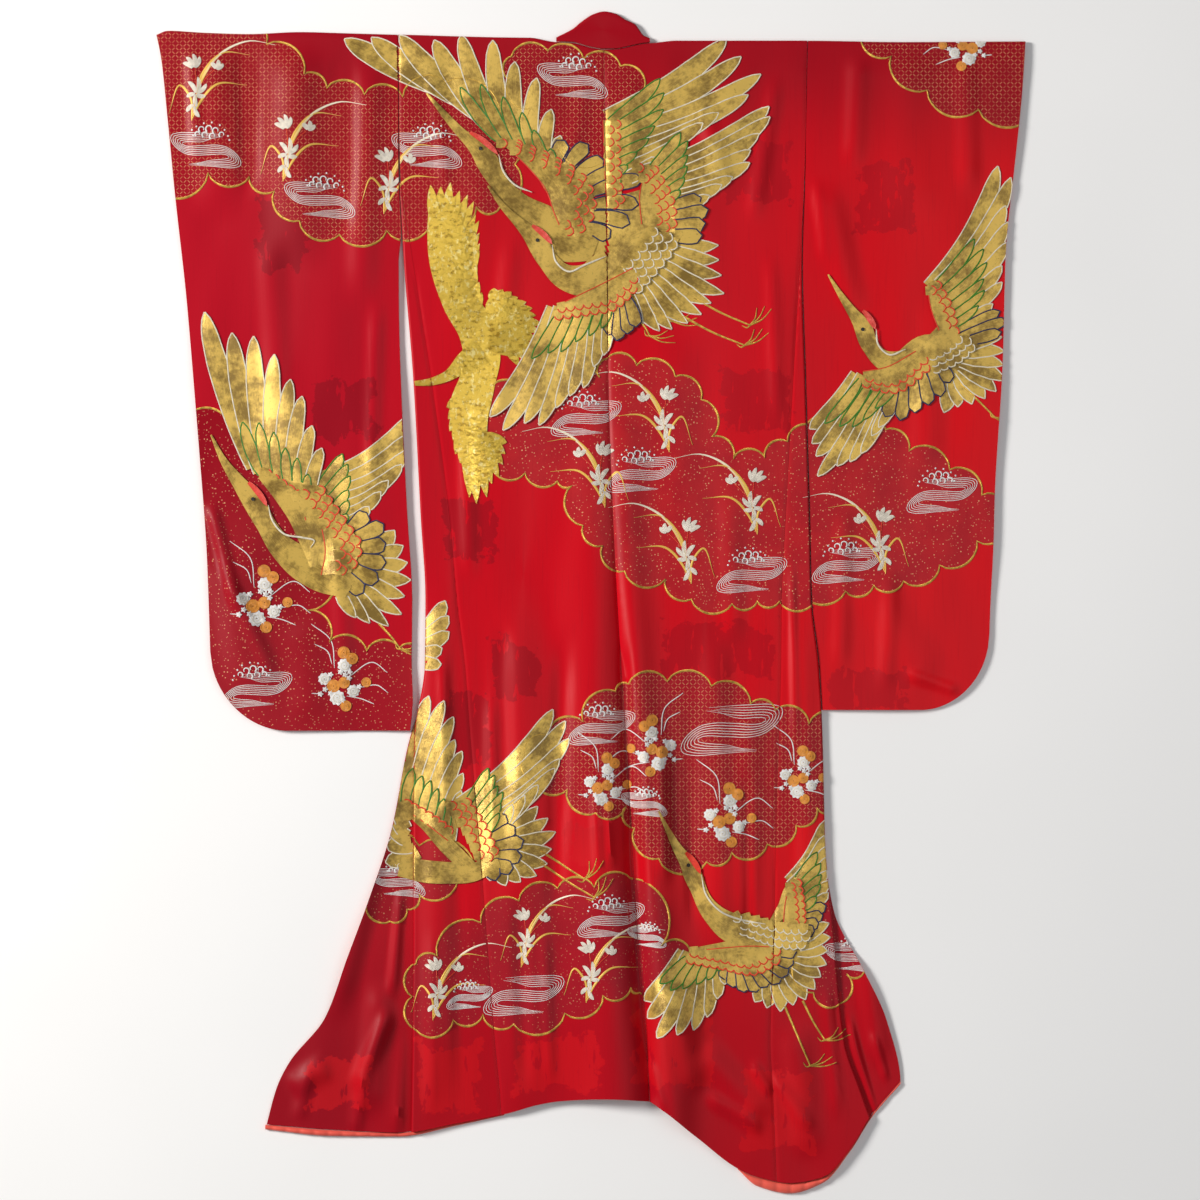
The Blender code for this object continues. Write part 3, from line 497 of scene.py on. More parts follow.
def overlap_height(x, y):
    clear_left = soft_step((FOLD_LEFT_X(y) - OVERLAP_FLAT - x) / OVERLAP_EASE_LEFT)
    clear_right = soft_step((x - FOLD_RIGHT_X(y) - OVERLAP_FLAT) / OVERLAP_EASE_RIGHT)
    clear = np.maximum(clear_left, clear_right)
    relief = loose_height(OVERLAP_FOLDS, OVERLAP_CREASES, x, y)
    return UNDER_LEVEL + WALL + clear * np.maximum(relief, 0.0)


def sleeve_height(x, y):
    settled = soft_step((SHOULDER_Y(x) - y) / SLEEVE_LEVEL_DROP)
    shoulder_clear = soft_step((SHOULDER_Y(x) - y) / SHOULDER_EASE)
    base = mix(SLEEVE_SHOULDER_TOP, SLEEVE_LOWER_TOP, settled)
    relief = loose_height(SLEEVE_FOLDS, SLEEVE_CREASES, x, y)
    return base + shoulder_clear * np.maximum(relief, 0.0)


def spaced(width):
    """Return shares across a panel: even, with narrow columns at both seams."""
    start = [step / width for step in SEAM_COLUMNS]
    inner = np.linspace(start[-1], 1 - start[-1], max(2, round((width - 2 * SEAM_COLUMNS[-1]) / COLUMN)))
    return np.array(start[:-1] + list(inner) + [1 - step for step in reversed(start[:-1])])


def even(length, size):
    """Return shares along a length in equal steps of about a size."""
    return np.linspace(0, 1, max(2, round(length / size)) + 1)


def flat_places(left, right, top, bottom, across, down):
    """Return x and y grids: rows from top to bottom, columns from left to right."""
    x_low = mix(left(0.0), right(0.0), across)
    x_high = mix(left(SHOULDER_MIDDLE_Y), right(SHOULDER_MIDDLE_Y), across)
    for _ in range(MEETING_ROUNDS):
        y_low = bottom(x_low)
        x_low = mix(left(y_low), right(y_low), across)
        y_high = top(x_high)
        x_high = mix(left(y_high), right(y_high), across)
    y = mix(y_high, y_low, np.asarray(down)[:, None])
    return mix(left(y), right(y), across), y


def points(x, y, z):
    """Join grids of x, y and z into one grid of points."""
    return np.stack(np.broadcast_arrays(x, y, z), axis=-1).astype(float)


def add_object(name, data):
    """Make an object of some data and put it into the scene."""
    made = bpy.data.objects.new(name, data)
    bpy.context.scene.collection.objects.link(made)
    return made


def grid_faces(rows, columns, offset):
    index = offset + np.arange(rows * columns).reshape(rows, columns)
    faces = np.stack([index[:-1, :-1], index[1:, :-1], index[1:, 1:], index[:-1, 1:]], axis=-1)
    return faces.reshape(-1, 4)


def wall_between(name, outer, inner, materials):
    """Build one closed wall; materials are those of the outer side and of the inner side."""
    rows, columns = outer.shape[:2]
    count = rows * columns
    top = grid_faces(rows, columns, 0)
    under = grid_faces(rows, columns, count)
    index = np.arange(count).reshape(rows, columns)
    rims = []
    for line in (index[0], index[-1], index[:, 0], index[:, -1]):
        rims.append(np.stack([line[:-1], line[1:], line[1:] + count, line[:-1] + count], axis=-1))
    faces = np.concatenate([top, under] + rims)
    verts = np.concatenate([outer.reshape(-1, 3), inner.reshape(-1, 3)])
    mesh = bpy.data.meshes.new(name)
    mesh.from_pydata(verts.tolist(), [], faces.tolist())
    for material in materials:
        mesh.materials.append(material)
    side = np.zeros(len(faces), dtype=np.int32)
    side[len(top):len(top) + len(under)] = len(materials) - 1
    mesh.polygons.foreach_set("material_index", side)
    body = bmesh.new()
    body.from_mesh(mesh)
    bmesh.ops.recalc_face_normals(body, faces=body.faces)
    if body.calc_volume(signed=True) < 0:
        bmesh.ops.reverse_faces(body, faces=body.faces)
    body.to_mesh(mesh)
    body.free()
    mesh.shade_smooth()
    mesh.set_sharp_from_angle(angle=CREASE_ANGLE)
    return add_object(name + "_cloth", mesh)


def plan_area(x, y):
    """Return the area of a grid of places, seen from above."""
    a = (x[1:, 1:] - x[:-1, :-1]) * (y[1:, :-1] - y[:-1, 1:])
    b = (x[1:, :-1] - x[:-1, 1:]) * (y[1:, 1:] - y[:-1, :-1])
    return float(np.abs(a - b).sum() / 2)


Panel = namedtuple("Panel", "name place object area")
PANELS = []


def keep(name, place, made, area):
    """Tie a finished shell to its CAD piece and note it for sewing."""
    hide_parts(name)
    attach(made, "root")
    PANELS.append(Panel(name, place, made, area))


def turned_top(edge, low):
    """Return the rows that turn a wall's upper edge down to a height, as a shoulder fold."""
    radius = EDGE_TURN
    rows_out = []
    rows_in = []
    for turn in (None, 0, 15, 30, 45, 60, 75, 90):
        angle = math.radians(turn or 0)
        inset = radius * (1 - math.cos(angle))
        drop = radius * (1 - math.sin(angle))
        height = np.full(len(edge), low) if turn is None else edge[:, 2] - drop
        height_in = np.full(len(edge), low) if turn is None else edge[:, 2] - max(drop, WALL)
        rows_out.append(points(edge[:, 0], edge[:, 1] - inset, height))
        rows_in.append(points(edge[:, 0], edge[:, 1] - max(inset, WALL), height_in))
    return np.array(rows_out), np.array(rows_in)


def make_back(name, left, right, looks):
    down = even(BACK_LENGTH, ROW)
    x, y = flat_places(left, right, back_top_y, HEM_SILK_Y, spaced(BACK_WIDTH), down)
    z = back_height(x, y)
    outer, inner = points(x, y, z), points(x, y, z - WALL)
    turned_out, turned_in = turned_top(outer[0], UNDER_LEVEL)
    outer = np.concatenate([turned_out, outer[1:]])
    inner = np.concatenate([turned_in, inner[1:]])
    keep(name, "body", wall_between(name, outer, inner, looks), plan_area(x, y))


def make_front(name, left, right, looks):
    top = moved(SHOULDER_Y, -FRONT_TOP_INSET)
    bottom = moved(HEM_SILK_Y, SEAM_GAP)
    across = even(FRONT_WIDTH, COLUMN * HIDDEN_SHARE)
    down = even(FRONT_LENGTH, ROW * HIDDEN_SHARE)
    x, y = flat_places(left, right, top, bottom, across, down)
    outer = points(x, y, FRONT_LEVEL + WALL)
    made = wall_between(name, outer, points(x, y, FRONT_LEVEL), looks)
    keep(name, "body", made, plan_area(x, y))


def make_side_strip(name, seam, fold, looks):
    """Build the strip of front beyond a side seam, turned down round its outer fold."""
    down = np.linspace(STRIP_START, 1, round(BACK_LENGTH * (1 - STRIP_START) / ROW))
    inward = 1.0 if seam(0.0) > fold(0.0) else -1.0
    radius = lambda y: np.clip(0.7 * np.abs(seam(y) - fold(y)), 0.0002, EDGE_TURN)
    start = moved(seam, -inward * SEAM_GAP)
    crown = lambda y: fold(y) + inward * radius(y)
    shares = spaced(SIDE_STRIP_WIDTH)
    x, y = flat_places(start, crown, back_top_y, HEM_SILK_Y, shares, down)
    area = plan_area(x, y)
    z = strip_height(x, y)
    outer, inner = [points(x, y, z)], [points(x, y, z - WALL)]
    inside = 1 - WALL / EDGE_TURN
    for turn in (75, 60, 45, 30, 15, 0, None):
        angle = math.radians(turn or 0)
        for grids, size in ((outer, 1.0), (inner, inside)):
            line = lambda y: fold(y) + inward * radius(y) * (1 - size * math.cos(angle))
            x, y = flat_places(line, line, back_top_y, HEM_SILK_Y, np.array([0.0]), down)
            fall = radius(y) * (1 - size * math.sin(angle))
            z = np.full_like(x, FRONT_LEVEL) if turn is None else strip_height(x, y) - fall
            grids.append(points(x, y, z))
    made = wall_between(name, np.concatenate(outer, axis=1), np.concatenate(inner, axis=1), looks)
    keep(name, "body", made, area)


def make_overlap(name, rows, looks):
    """Build one overlap, flat below the front and swinging out beyond the side."""
    edge, turn = curve_through(rows, "y", "edge"), curve_through(rows, "y", "turn")
    if edge(0.0) < turn(0.0):
        flat_from = lambda y: np.maximum(FOLD_LEFT_X(y) - OVERLAP_FLAT, edge(y) + OVERLAP_LIP)
    else:
        flat_from = lambda y: np.minimum(FOLD_RIGHT_X(y) + OVERLAP_FLAT, edge(y) - OVERLAP_LIP)
    down = even(OVERLAP_LENGTH, ROW)
    top = level(OVERLAP_TOP)
    shown = flat_places(edge, flat_from, top, HEM_SILK_Y, even(OVERLAP_SHOWN, COLUMN), down)
    across = even(OVERLAP_HIDDEN, COLUMN * HIDDEN_SHARE)
    hidden = flat_places(flat_from, turn, top, HEM_SILK_Y, across, down)
    x, y = [np.concatenate([a, b[:, 1:]], axis=1) for a, b in zip(shown, hidden)]
    z = overlap_height(x, y)
    made = wall_between(name, points(x, y, z), points(x, y, z - WALL), looks)
    keep(name, "body", made, plan_area(x, y))


def sleeve_bottom(outer_edge, inner_edge, cut, share):
    """Return the y of a sleeve's lower edge: straight, with a round outer corner."""
    along = share * abs(inner_edge(cut.bottom) - outer_edge(cut.bottom))
    bend = np.clip((cut.corner_across - along) / cut.corner_across, 0, 1)
    return cut.bottom + cut.corner_up * (1 - np.sqrt(1 - bend * bend))


def folded_wall(name, up, fold, radius, down, looks):
    """Build one wall: its upper side, a fold of a radius, and its flat underside."""
    turn = np.radians(np.arange(60, -61, -15))[None, :]
    sides = []
    for size, top, under in ((radius, 0.0, UNDER_LEVEL), (radius - WALL, WALL, UNDER_LEVEL + WALL)):
        upper = points(up[0], up[1], up[2] - top)
        over = points(fold[0], fold[1] + size * np.cos(turn), radius + size * np.sin(turn))
        sides.append(np.concatenate([upper, over, points(*down, under)], axis=1))
    return wall_between(name, *sides, looks)


def make_sleeve(name, rows, cut, looks):
    """Build one sleeve as a single wall: upper side, shoulder fold, flat underside."""
    outer_edge, drawn = curve_through(rows, "y", "outer"), curve_through(rows, "y", "inner")
    if outer_edge(0.0) < drawn(0.0):
        touching = lambda y: FOLD_LEFT_X(y) - mix(SLEEVE_TOUCH, 0.02, soft_step((SLEEVE_GAP_TOP - y) / 0.10))
        inner_edge = lambda y: np.maximum(drawn(y), touching(y))
    else:
        inner_edge = lambda y: np.minimum(drawn(y), FOLD_RIGHT_X(y) + SLEEVE_TOUCH)
    share = (even(SLEEVE_WIDTH, COLUMN) ** 1.2)[:, None]
    low = sleeve_bottom(outer_edge, inner_edge, cut, share)
    x_at = lambda y: mix(outer_edge(y), inner_edge(y), share)
    x_top = x_at(SHOULDER_MIDDLE_Y)
    high = SHOULDER_Y(x_top)
    radius = SLEEVE_SHOULDER_TOP / 2
    y_up = mix(low, high - radius, even(SLEEVE_LENGTH, ROW)[None, :])
    y_down = mix(high - radius, low, even(SLEEVE_LENGTH, ROW * 3)[None, :])
    up = x_at(y_up), y_up, sleeve_height(x_at(y_up), y_up)
    made = folded_wall(name, up, (x_top, high - radius), radius, (x_at(y_down), y_down), looks)
    keep(name, name, made, 2 * plan_area(x_at(y_up), y_up))


def make_collar_neck(looks):
    """Build the collar above the neckline, a band folded over at its upper edge."""
    radius = BACK_TOP / 2
    x = mix(COLLAR[0].x, COLLAR[-1].x, even(COLLAR_WIDTH, COLLAR_COLUMN))[:, None]
    seam = COLLAR_SEAM_Y(x)
    fold = np.maximum(COLLAR_FOLD_Y(x) - radius, seam + COLLAR_STAND_MIN)
    up = mix(seam, fold, even(COLLAR_RUN_WIDTH, COLLAR_ROW)[None, :])
    made = folded_wall("collar_neck", (x, up, BACK_TOP), (x, fold), radius, (x, up[:, ::-1]), looks)
    keep("collar_neck", "collar", made, 2 * plan_area(x + 0 * up, up) + COLLAR_FOLD_AREA)


def collar_run_edge(rows, neck):
    """Return the line that a collar run is sewn along: the neck, then the overlap's edge."""
    flare, front = curve_through(rows, "y", "edge"), curve_through(FRONT_NECK, "y", neck)
    return lambda y: mix(flare(y), front(y), soft_step((y - OVERLAP_TOP) / COLLAR_RUN_EASE))


def make_collar_run(name, rows, neck, side, looks):
    sewn = collar_run_edge(rows, neck)
    ends = [moved(sewn, side * SEAM_GAP), moved(sewn, side * COLLAR_RUN_WIDTH)]
    left, right = ends if side > 0 else ends[::-1]
    down = even(COLLAR_RUN_TOP - COLLAR_RUN_END, ROW)
    across = even(COLLAR_RUN_WIDTH, COLUMN)
    x, y = flat_places(left, right, level(COLLAR_RUN_TOP), level(COLLAR_RUN_END), across, down)
    made = wall_between(name, points(x, y, WALL), points(x, y, UNDER_LEVEL), looks)
    keep(name, "body", made, plan_area(x, y))


def make_hem_roll(name, span, looks):
    """Build the padded roll below the silk's edge, drawn in a little at each hidden stitch."""
    x = mix(span[0], span[1], even(span[1] - span[0], HEM_ROLL_COLUMN))[:, None]
    near = HEM_SILK_Y(x) - HEM_ROLL_GAP
    far = np.minimum(HEM_ROLL_Y(x), near - HEM_ROLL_MIN)
    full = np.minimum(HEM_ROLL_HEIGHT, HEM_ROLL_FULLNESS * (near - far) + HEM_ROLL_FLATTEST)
    tall = full * (1 - HEM_STITCH_DRAW * (0.5 + 0.5 * np.sin(2 * np.pi * x / HEM_STITCH)) ** 3)
    side = HEM_ROLL_SIDE * tall
    turn = np.radians(np.linspace(0, 180, 15))[None, :]
    y = mix(far, near, 0.5 + 0.5 * np.cos(turn))
    outer = points(x, y, side + (tall - side) * np.sin(turn))
    made = wall_between(name, outer, points(x, y, UNDER_LEVEL), looks)
    keep(name, "body", made, plan_area(x + 0 * y, y))


# ---- cloth's woven figures, as distances kept on the shells
def smooth_path(places, count):
    """Return a smooth line through places, in steps of equal length."""
    knots = np.asarray(places, dtype=float)
    where = np.concatenate([[0], np.cumsum(np.linalg.norm(np.diff(knots, axis=0), axis=1))])
    at = np.linspace(0, where[-1], count)
    if len(knots) == 2:
        return mix(knots[0], knots[1], (at / where[-1])[:, None])
    slopes = np.gradient(knots, where, axis=0)
    index = np.clip(np.searchsorted(where, at, side="right") - 1, 0, len(knots) - 2)
    span = (where[index + 1] - where[index])[:, None]
    s = ((at - where[index]) / span[:, 0])[:, None]
    return hermite(knots, slopes, index, span, s)


def scallops(cusps):
    """Return the closed outline of a cloud: arcs that swell outwards between its cusps."""
    line = []
    steps = np.linspace(0, 1, SCALLOP_STEPS, endpoint=False)[:, None]
    for start, end in zip(cusps, cusps[1:] + cusps[:1]):
        start, end = np.array(start), np.array(end)
        chord = end - start
        outward = np.array([-chord[1], chord[0]])
        swell = np.sqrt(np.maximum(1 - (2 * steps - 1) ** 2, 0)) * 0.55 + 2 * steps * (1 - steps)
        line.append(start + chord * steps + outward * CLOUD_BULGE * swell / 1.05)
    return np.concatenate(line)


def inside_by(outline, x, y):
    """Return signed distances to a closed outline, above 0 inside."""
    found = np.full(x.shape, -1.0)
    low, high = outline.min(axis=0) - 0.02, outline.max(axis=0) + 0.02
    near = (x > low[0]) & (x < high[0]) & (y > low[1]) & (y < high[1])
    px, py = x[near], y[near]
    best = np.full(px.shape, 9.0)
    crossings = np.zeros(px.shape, dtype=int)
    for a, b in zip(outline, np.roll(outline, -1, axis=0)):
        run = b - a
        share = np.clip(((px - a[0]) * run[0] + (py - a[1]) * run[1]) / (run @ run), 0, 1)
        best = np.minimum(best, np.hypot(px - a[0] - share * run[0], py - a[1] - share * run[1]))
        spans = (a[1] > py) != (b[1] > py)
        if a[1] != b[1]:
            crossings += spans & (px < a[0] + (py - a[1]) * run[0] / (b[1] - a[1]))
    found[near] = np.where(crossings % 2 == 1, best, -best)
    return found


def mark_figures(panel):
    """Keep on a shell its distances into the cloud grounds and the figured patches."""
    mesh = panel.object.data
    co = np.empty(len(mesh.vertices) * 3)
    mesh.vertices.foreach_get("co", co)
    x, y = co[0::3], co[1::3]
    marks = {LATTICE: np.full(len(x), -1.0), DOTS: np.full(len(x), -1.0)}
    for cloud in CLOUDS:
        if panel.place in cloud.place:
            into = inside_by(scallops(cloud.cusps), x, y)
            marks[cloud.ground] = np.maximum(marks[cloud.ground], into)
    figure = np.full(len(x), -1.0)
    for patch in FIGURE:
        into = np.minimum(np.minimum(x - patch.x0, patch.x1 - x), np.minimum(y - patch.y0, patch.y1 - y))
        figure = np.maximum(figure, into)
    marks["figure"] = figure
    for name, values in marks.items():
        mesh.attributes.new(name, "FLOAT", "POINT").data.foreach_set("value", values)


# ---- looks: colours, and small helpers that join shader nodes
# CRIMSON is the satin's deeper red; over the left side it also stands for painted shade.
CRIMSON = (0.400, 0.004, 0.014)
BODY_RED = (0.520, 0.002, 0.009)
# BRIGHT_RED is painted light on the satin towards the right; it is also the lighter tone of the figure low
# down.
BRIGHT_RED = (0.600, 0.004, 0.008)
# painted shade: the deep red over the lower body, towards the hem
HEM_SHADE_RED = (0.370, 0.002, 0.009)
DOT_RED = (0.420, 0.014, 0.019)
GROUND_RED = (0.310, 0.008, 0.016)
LATTICE_THREAD = (0.620, 0.250, 0.120)
SPECK = (0.700, 0.330, 0.170)
LINING_RED = (0.800, 0.100, 0.065)
# CRIMSON_DEEP is painted shade at the shoulder (on the satin and its lattice grounds), over the left flare
# and on the left dotted ground, and also the real dark slubs of the weave.
CRIMSON_DEEP = (0.250, 0.002, 0.009)
LINING_SHADE = (0.620, 0.060, 0.040)
FIGURE_LEFT = (0.150, 0.002, 0.008)
FIGURE_RIGHT = (0.310, 0.002, 0.009)
FIGURE_STRENGTH = 0.48
LATTICE_PITCH = 0.0080         # between the crossed dashes of the lattice ground
SPECK_PITCH = 0.0045           # between the specks of the dotted ground
FOIL_STRIP = 0.0007            # width of one flat gold strip
GOLD_LIGHT = (0.690, 0.455, 0.095)
GOLD_DARK = (0.250, 0.152, 0.029)
BRIGHT_GOLD = (0.900, 0.620, 0.085)
# GLINT is a painted glint on the crinkled bright gold.
GLINT = (1.000, 0.860, 0.360)
BRIGHT_GOLD_DEEP = (0.480, 0.270, 0.022)
GOLD_CORD = (0.720, 0.440, 0.070)
Thread = namedtuple("Thread", "colour dark sheen metal")
THREADS = {
    "cream": Thread((0.820, 0.745, 0.580), 0.80, 0.3, 0.0),
    "petal": Thread((0.840, 0.760, 0.640), 0.72, 0.3, 0.0),
    "white": Thread((0.880, 0.860, 0.840), 0.80, 0.4, 0.0),
    "orange": Thread((0.820, 0.300, 0.025), 0.70, 0.3, 0.0),
    "green": Thread((0.045, 0.235, 0.010), 0.60, 0.2, 0.0),
    "navy": Thread((0.010, 0.013, 0.075), 0.60, 0.2, 0.0),
    "vermilion": Thread((0.830, 0.060, 0.018), 0.85, 0.0, 0.0),
    "crown": Thread((0.820, 0.035, 0.012), 0.80, 0.0, 0.0),
    "black": Thread((0.010, 0.008, 0.008), 0.60, 0.2, 0.0),
    "gold_cord": Thread(GOLD_CORD, 0.55, 0.1, 0.5),
}
TWIST = 0.0009                 # length of one twist of a cord


class Looks:
    """One node material being made."""

    def __init__(self, name):
        self.material = bpy.data.materials.new(name)
        self.material.use_nodes = True
        self.nodes = self.material.node_tree.nodes
        self.shader = self.nodes["Principled BSDF"]
        self.places = self.nodes.new("ShaderNodeTexCoord").outputs["Object"]

    def join(self, socket, value):
        if isinstance(value, bpy.types.NodeSocket):
            self.material.node_tree.links.new(value, socket)
        elif isinstance(value, tuple) and len(value) == 3 and socket.type == "RGBA":
            socket.default_value = (*value, 1.0)
        else:
            socket.default_value = value

    def set(self, **values):
        for name, value in values.items():
            self.join(self.shader.inputs[name.replace("_", " ")], value)

    def node(self, kind, sockets, **settings):
        made = self.nodes.new("ShaderNode" + kind)
        for name, value in settings.items():
            setattr(made, name, value)
        for name, value in sockets.items():
            self.join(made.inputs[name], value)
        return made

    def math(self, operation, first, second=0.0, third=0.0):
        return self.node("Math", {0: first, 1: second, 2: third}, operation=operation).outputs[0]

    def times(self, first, second, plus=None):
        if plus is None:
            return self.math("MULTIPLY", first, second)
        return self.math("MULTIPLY_ADD", first, second, plus)

    def plus(self, first, second):
        return self.math("ADD", first, second)

    def minus(self, first, second):
        return self.math("SUBTRACT", first, second)

    def off_middle(self, value):
        return self.math("ABSOLUTE", self.minus(self.math("FRACT", value), 0.5))

    def ramp(self, value, low, high, most=None):
        sockets = {"Value": value, "From Min": low, "From Max": high}
        made = self.node("MapRange", sockets, interpolation_type="SMOOTHSTEP").outputs["Result"]
        return made if most is None else self.times(made, most)

    def blend(self, share, first, second):
        made = self.node("Mix", {0: share}, data_type="RGBA")
        self.join(made.inputs[6], first)
        self.join(made.inputs[7], second)
        return made.outputs[2]

    def stretch(self, x, y, z, places=None):
        sockets = {0: places or self.places, 1: (x, y, z)}
        return self.node("VectorMath", sockets, operation="MULTIPLY").outputs[0]

    def noise(self, scale, detail=2.0, places=None, roughness=0.5):
        sockets = {"Vector": places or self.places, "Scale": scale, "Detail": detail}
        return self.node("TexNoise", {**sockets, "Roughness": roughness}).outputs["Fac"]

    def grain(self, x, y, z, detail=2.0, places=None, roughness=0.5):
        """Return noise that is stretched along the axes."""
        return self.noise(1.0, detail, self.stretch(x, y, z, places), roughness)

    def cells(self, scale, output):
        return self.node("TexVoronoi", {"Vector": self.places, "Scale": scale}).outputs[output]

    def axes(self, places):
        return self.node("SeparateXYZ", {0: places}).outputs

    def mark(self, name, output="Fac"):
        return self.node("Attribute", {}, attribute_name=name).outputs[output]

    def relief(self, height, strength, distance):
        sockets = {"Strength": strength, "Distance": distance, "Height": height}
        self.set(Normal=self.node("Bump", sockets).outputs["Normal"])


def lattice_thread(looks, x, y):
    """Return where the crossed dashes of the lattice ground lie."""
    along = looks.times(looks.plus(x, y), 0.7071 / LATTICE_PITCH)
    across = looks.times(looks.minus(x, y), 0.7071 / LATTICE_PITCH)
    dashes = []
    for one, other in ((along, across), (across, along)):
        thin = looks.ramp(looks.off_middle(one), 0.075, 0.045)
        run = looks.off_middle(looks.plus(other, 0.5))
        dashes.append(looks.times(thin, looks.ramp(run, 0.32, 0.26)))
    return looks.math("MAXIMUM", *dashes)


def ground_specks(looks):
    """Return where the small scattered specks of the dotted ground lie."""
    dots = looks.cells(1 / SPECK_PITCH, "Distance")
    chosen = looks.axes(looks.cells(1 / SPECK_PITCH, "Color"))[0]
    small = looks.times(chosen, -0.15, 0.21)
    return looks.ramp(looks.minus(dots, small), 0.08, 0.0)


def silk_reds(looks, x, y):
    """Return the satin's reds and their slow noise: painted shade deepens them at the left, the shoulder and
    the hem, and painted light brightens them towards the right.
    """
    # Painted light and shade: a brighter red towards the right, deeper reds at the left, over the lower body
    # (deepest at the left flare) and at the shoulder. The slow noise after is the cloth's own uneven tone.
    painted_light_axis = looks.minus(x, looks.times(y, 0.35))
    colour = looks.blend(looks.ramp(x, -0.37, -0.17), CRIMSON, BODY_RED)
    colour = looks.blend(looks.ramp(painted_light_axis, -0.10, 0.62), colour, BRIGHT_RED)
    low = looks.blend(looks.ramp(x, -0.22, -0.42), HEM_SHADE_RED, CRIMSON_DEEP)
    colour = looks.blend(looks.ramp(y, -0.36, -0.66, 0.85), colour, low)
    colour = looks.blend(looks.ramp(y, 0.62, 0.84, 0.75), colour, CRIMSON_DEEP)
    slow = looks.noise(2.6, 3.0)
    colour = looks.blend(looks.ramp(slow, 0.35, 0.75), colour, looks.blend(0.22, colour, CRIMSON))
    return colour, slow


def woven_figure(looks):
    """Return where the tone-on-tone figure lies: ragged patches with notches along the warp."""
    ragged = looks.times(looks.minus(looks.noise(30.0, 6.0, roughness=0.62), 0.5), 0.085)
    edge = looks.plus(looks.mark("figure"), ragged)
    notches = looks.grain(95.0, 24.0, 1.0, 4.0)
    return looks.times(looks.ramp(edge, 0.0, 0.0030), looks.ramp(notches, 0.36, 0.40))


def weave_clouds(looks, x, y, slow, colour):
    """Return the colour with the lattice grounds and the dotted grounds woven in, with painted shade on the
    lattice grounds at the top and on the dotted grounds at the left.
    """
    mottle = looks.ramp(looks.noise(26.0, 4.0), 0.35, 0.7)
    crossed = looks.blend(looks.times(mottle, 0.35), GROUND_RED, CRIMSON)
    patchy = looks.ramp(looks.noise(60.0, 3.0), 0.38, 0.62)
    net = looks.times(lattice_thread(looks, x, y), looks.times(patchy, 0.5, 0.35))
    specks = looks.times(ground_specks(looks), looks.times(patchy, 0.5, 0.4))
    specks = looks.times(specks, looks.times(looks.ramp(y, -0.5, -0.1), 0.45, 0.55))
    # Painted shade: the lattice grounds deepen towards the shoulder.
    shaded = looks.ramp(y, 0.50, 0.80, 0.6)
    crossed = looks.blend(shaded, crossed, CRIMSON_DEEP)
    dotted = looks.blend(looks.times(mottle, 0.5), DOT_RED, GROUND_RED)
    dotted = looks.blend(looks.ramp(y, -0.30, -0.50), dotted, crossed)
    # Painted shade: the dotted grounds deepen at the left.
    leftmost = looks.ramp(x, -0.22, -0.32)
    painted_left_shade = looks.blend(looks.ramp(slow, 0.3, 0.7), GROUND_RED, CRIMSON_DEEP)
    dotted = looks.blend(leftmost, dotted, painted_left_shade)
    grounds = (LATTICE, net, crossed, LATTICE_THREAD), (DOTS, specks, dotted, SPECK)
    for mark, threads, ground, tone in grounds:
        inside = looks.ramp(looks.mark(mark), -0.0004, 0.0004)
        colour = looks.blend(inside, colour, looks.blend(threads, ground, tone))
    return colour


def silk():
    """Return the red figured satin with its two woven cloud grounds."""
    looks = Looks("red_silk")
    x, y, _ = looks.axes(looks.places)
    colour, slow = silk_reds(looks, x, y)
    figure = woven_figure(looks)
    deep = looks.blend(looks.ramp(x, -0.40, 0.30), FIGURE_LEFT, FIGURE_RIGHT)
    toned = looks.blend(looks.ramp(y, -0.20, -0.45), deep, BRIGHT_RED)
    colour = looks.blend(looks.times(figure, FIGURE_STRENGTH), colour, toned)
    colour = weave_clouds(looks, x, y, slow, colour)
    warp = looks.grain(2600.0, 260.0, 400.0)
    slub = looks.grain(420.0, 16.0, 60.0)
    lines = looks.times(slub, 0.5, looks.times(warp, 0.5))
    height = looks.times(figure, 0.35, lines)
    colour = looks.blend(looks.ramp(slub, 0.5, 0.8, 0.16), colour, CRIMSON_DEEP)
    rough = looks.times(lines, 0.16, looks.times(figure, 0.10, 0.33))
    looks.set(Base_Color=colour, Roughness=rough, Metallic=0.0, IOR=1.5, Anisotropic=0.45)
    looks.set(Sheen_Weight=0.01, Sheen_Roughness=0.35, Sheen_Tint=(1.0, 0.25, 0.20, 1.0))
    looks.set(Specular_IOR_Level=0.12)
    looks.relief(height, 0.22, 0.0004)
    return looks.material


def lining_silk(name):
    """Return the plain-woven silk of the lining and the hem."""
    looks = Looks(name)
    weft = looks.grain(700.0, 2600.0, 700.0)
    warp = looks.grain(2600.0, 700.0, 700.0)
    slow = looks.ramp(looks.noise(9.0, 3.0), 0.35, 0.70)
    fine = looks.times(warp, 0.5, looks.times(weft, 0.5))
    colour = looks.blend(slow, LINING_RED, LINING_SHADE)
    colour = looks.blend(looks.ramp(fine, 0.5, 0.7, 0.2), colour, LINING_SHADE)
    rough = looks.times(fine, 0.2, 0.45)
    looks.set(Base_Color=colour, Roughness=rough, Sheen_Weight=0.25, Specular_IOR_Level=0.35)
    looks.relief(fine, 0.30, 0.0005)
    return looks.material


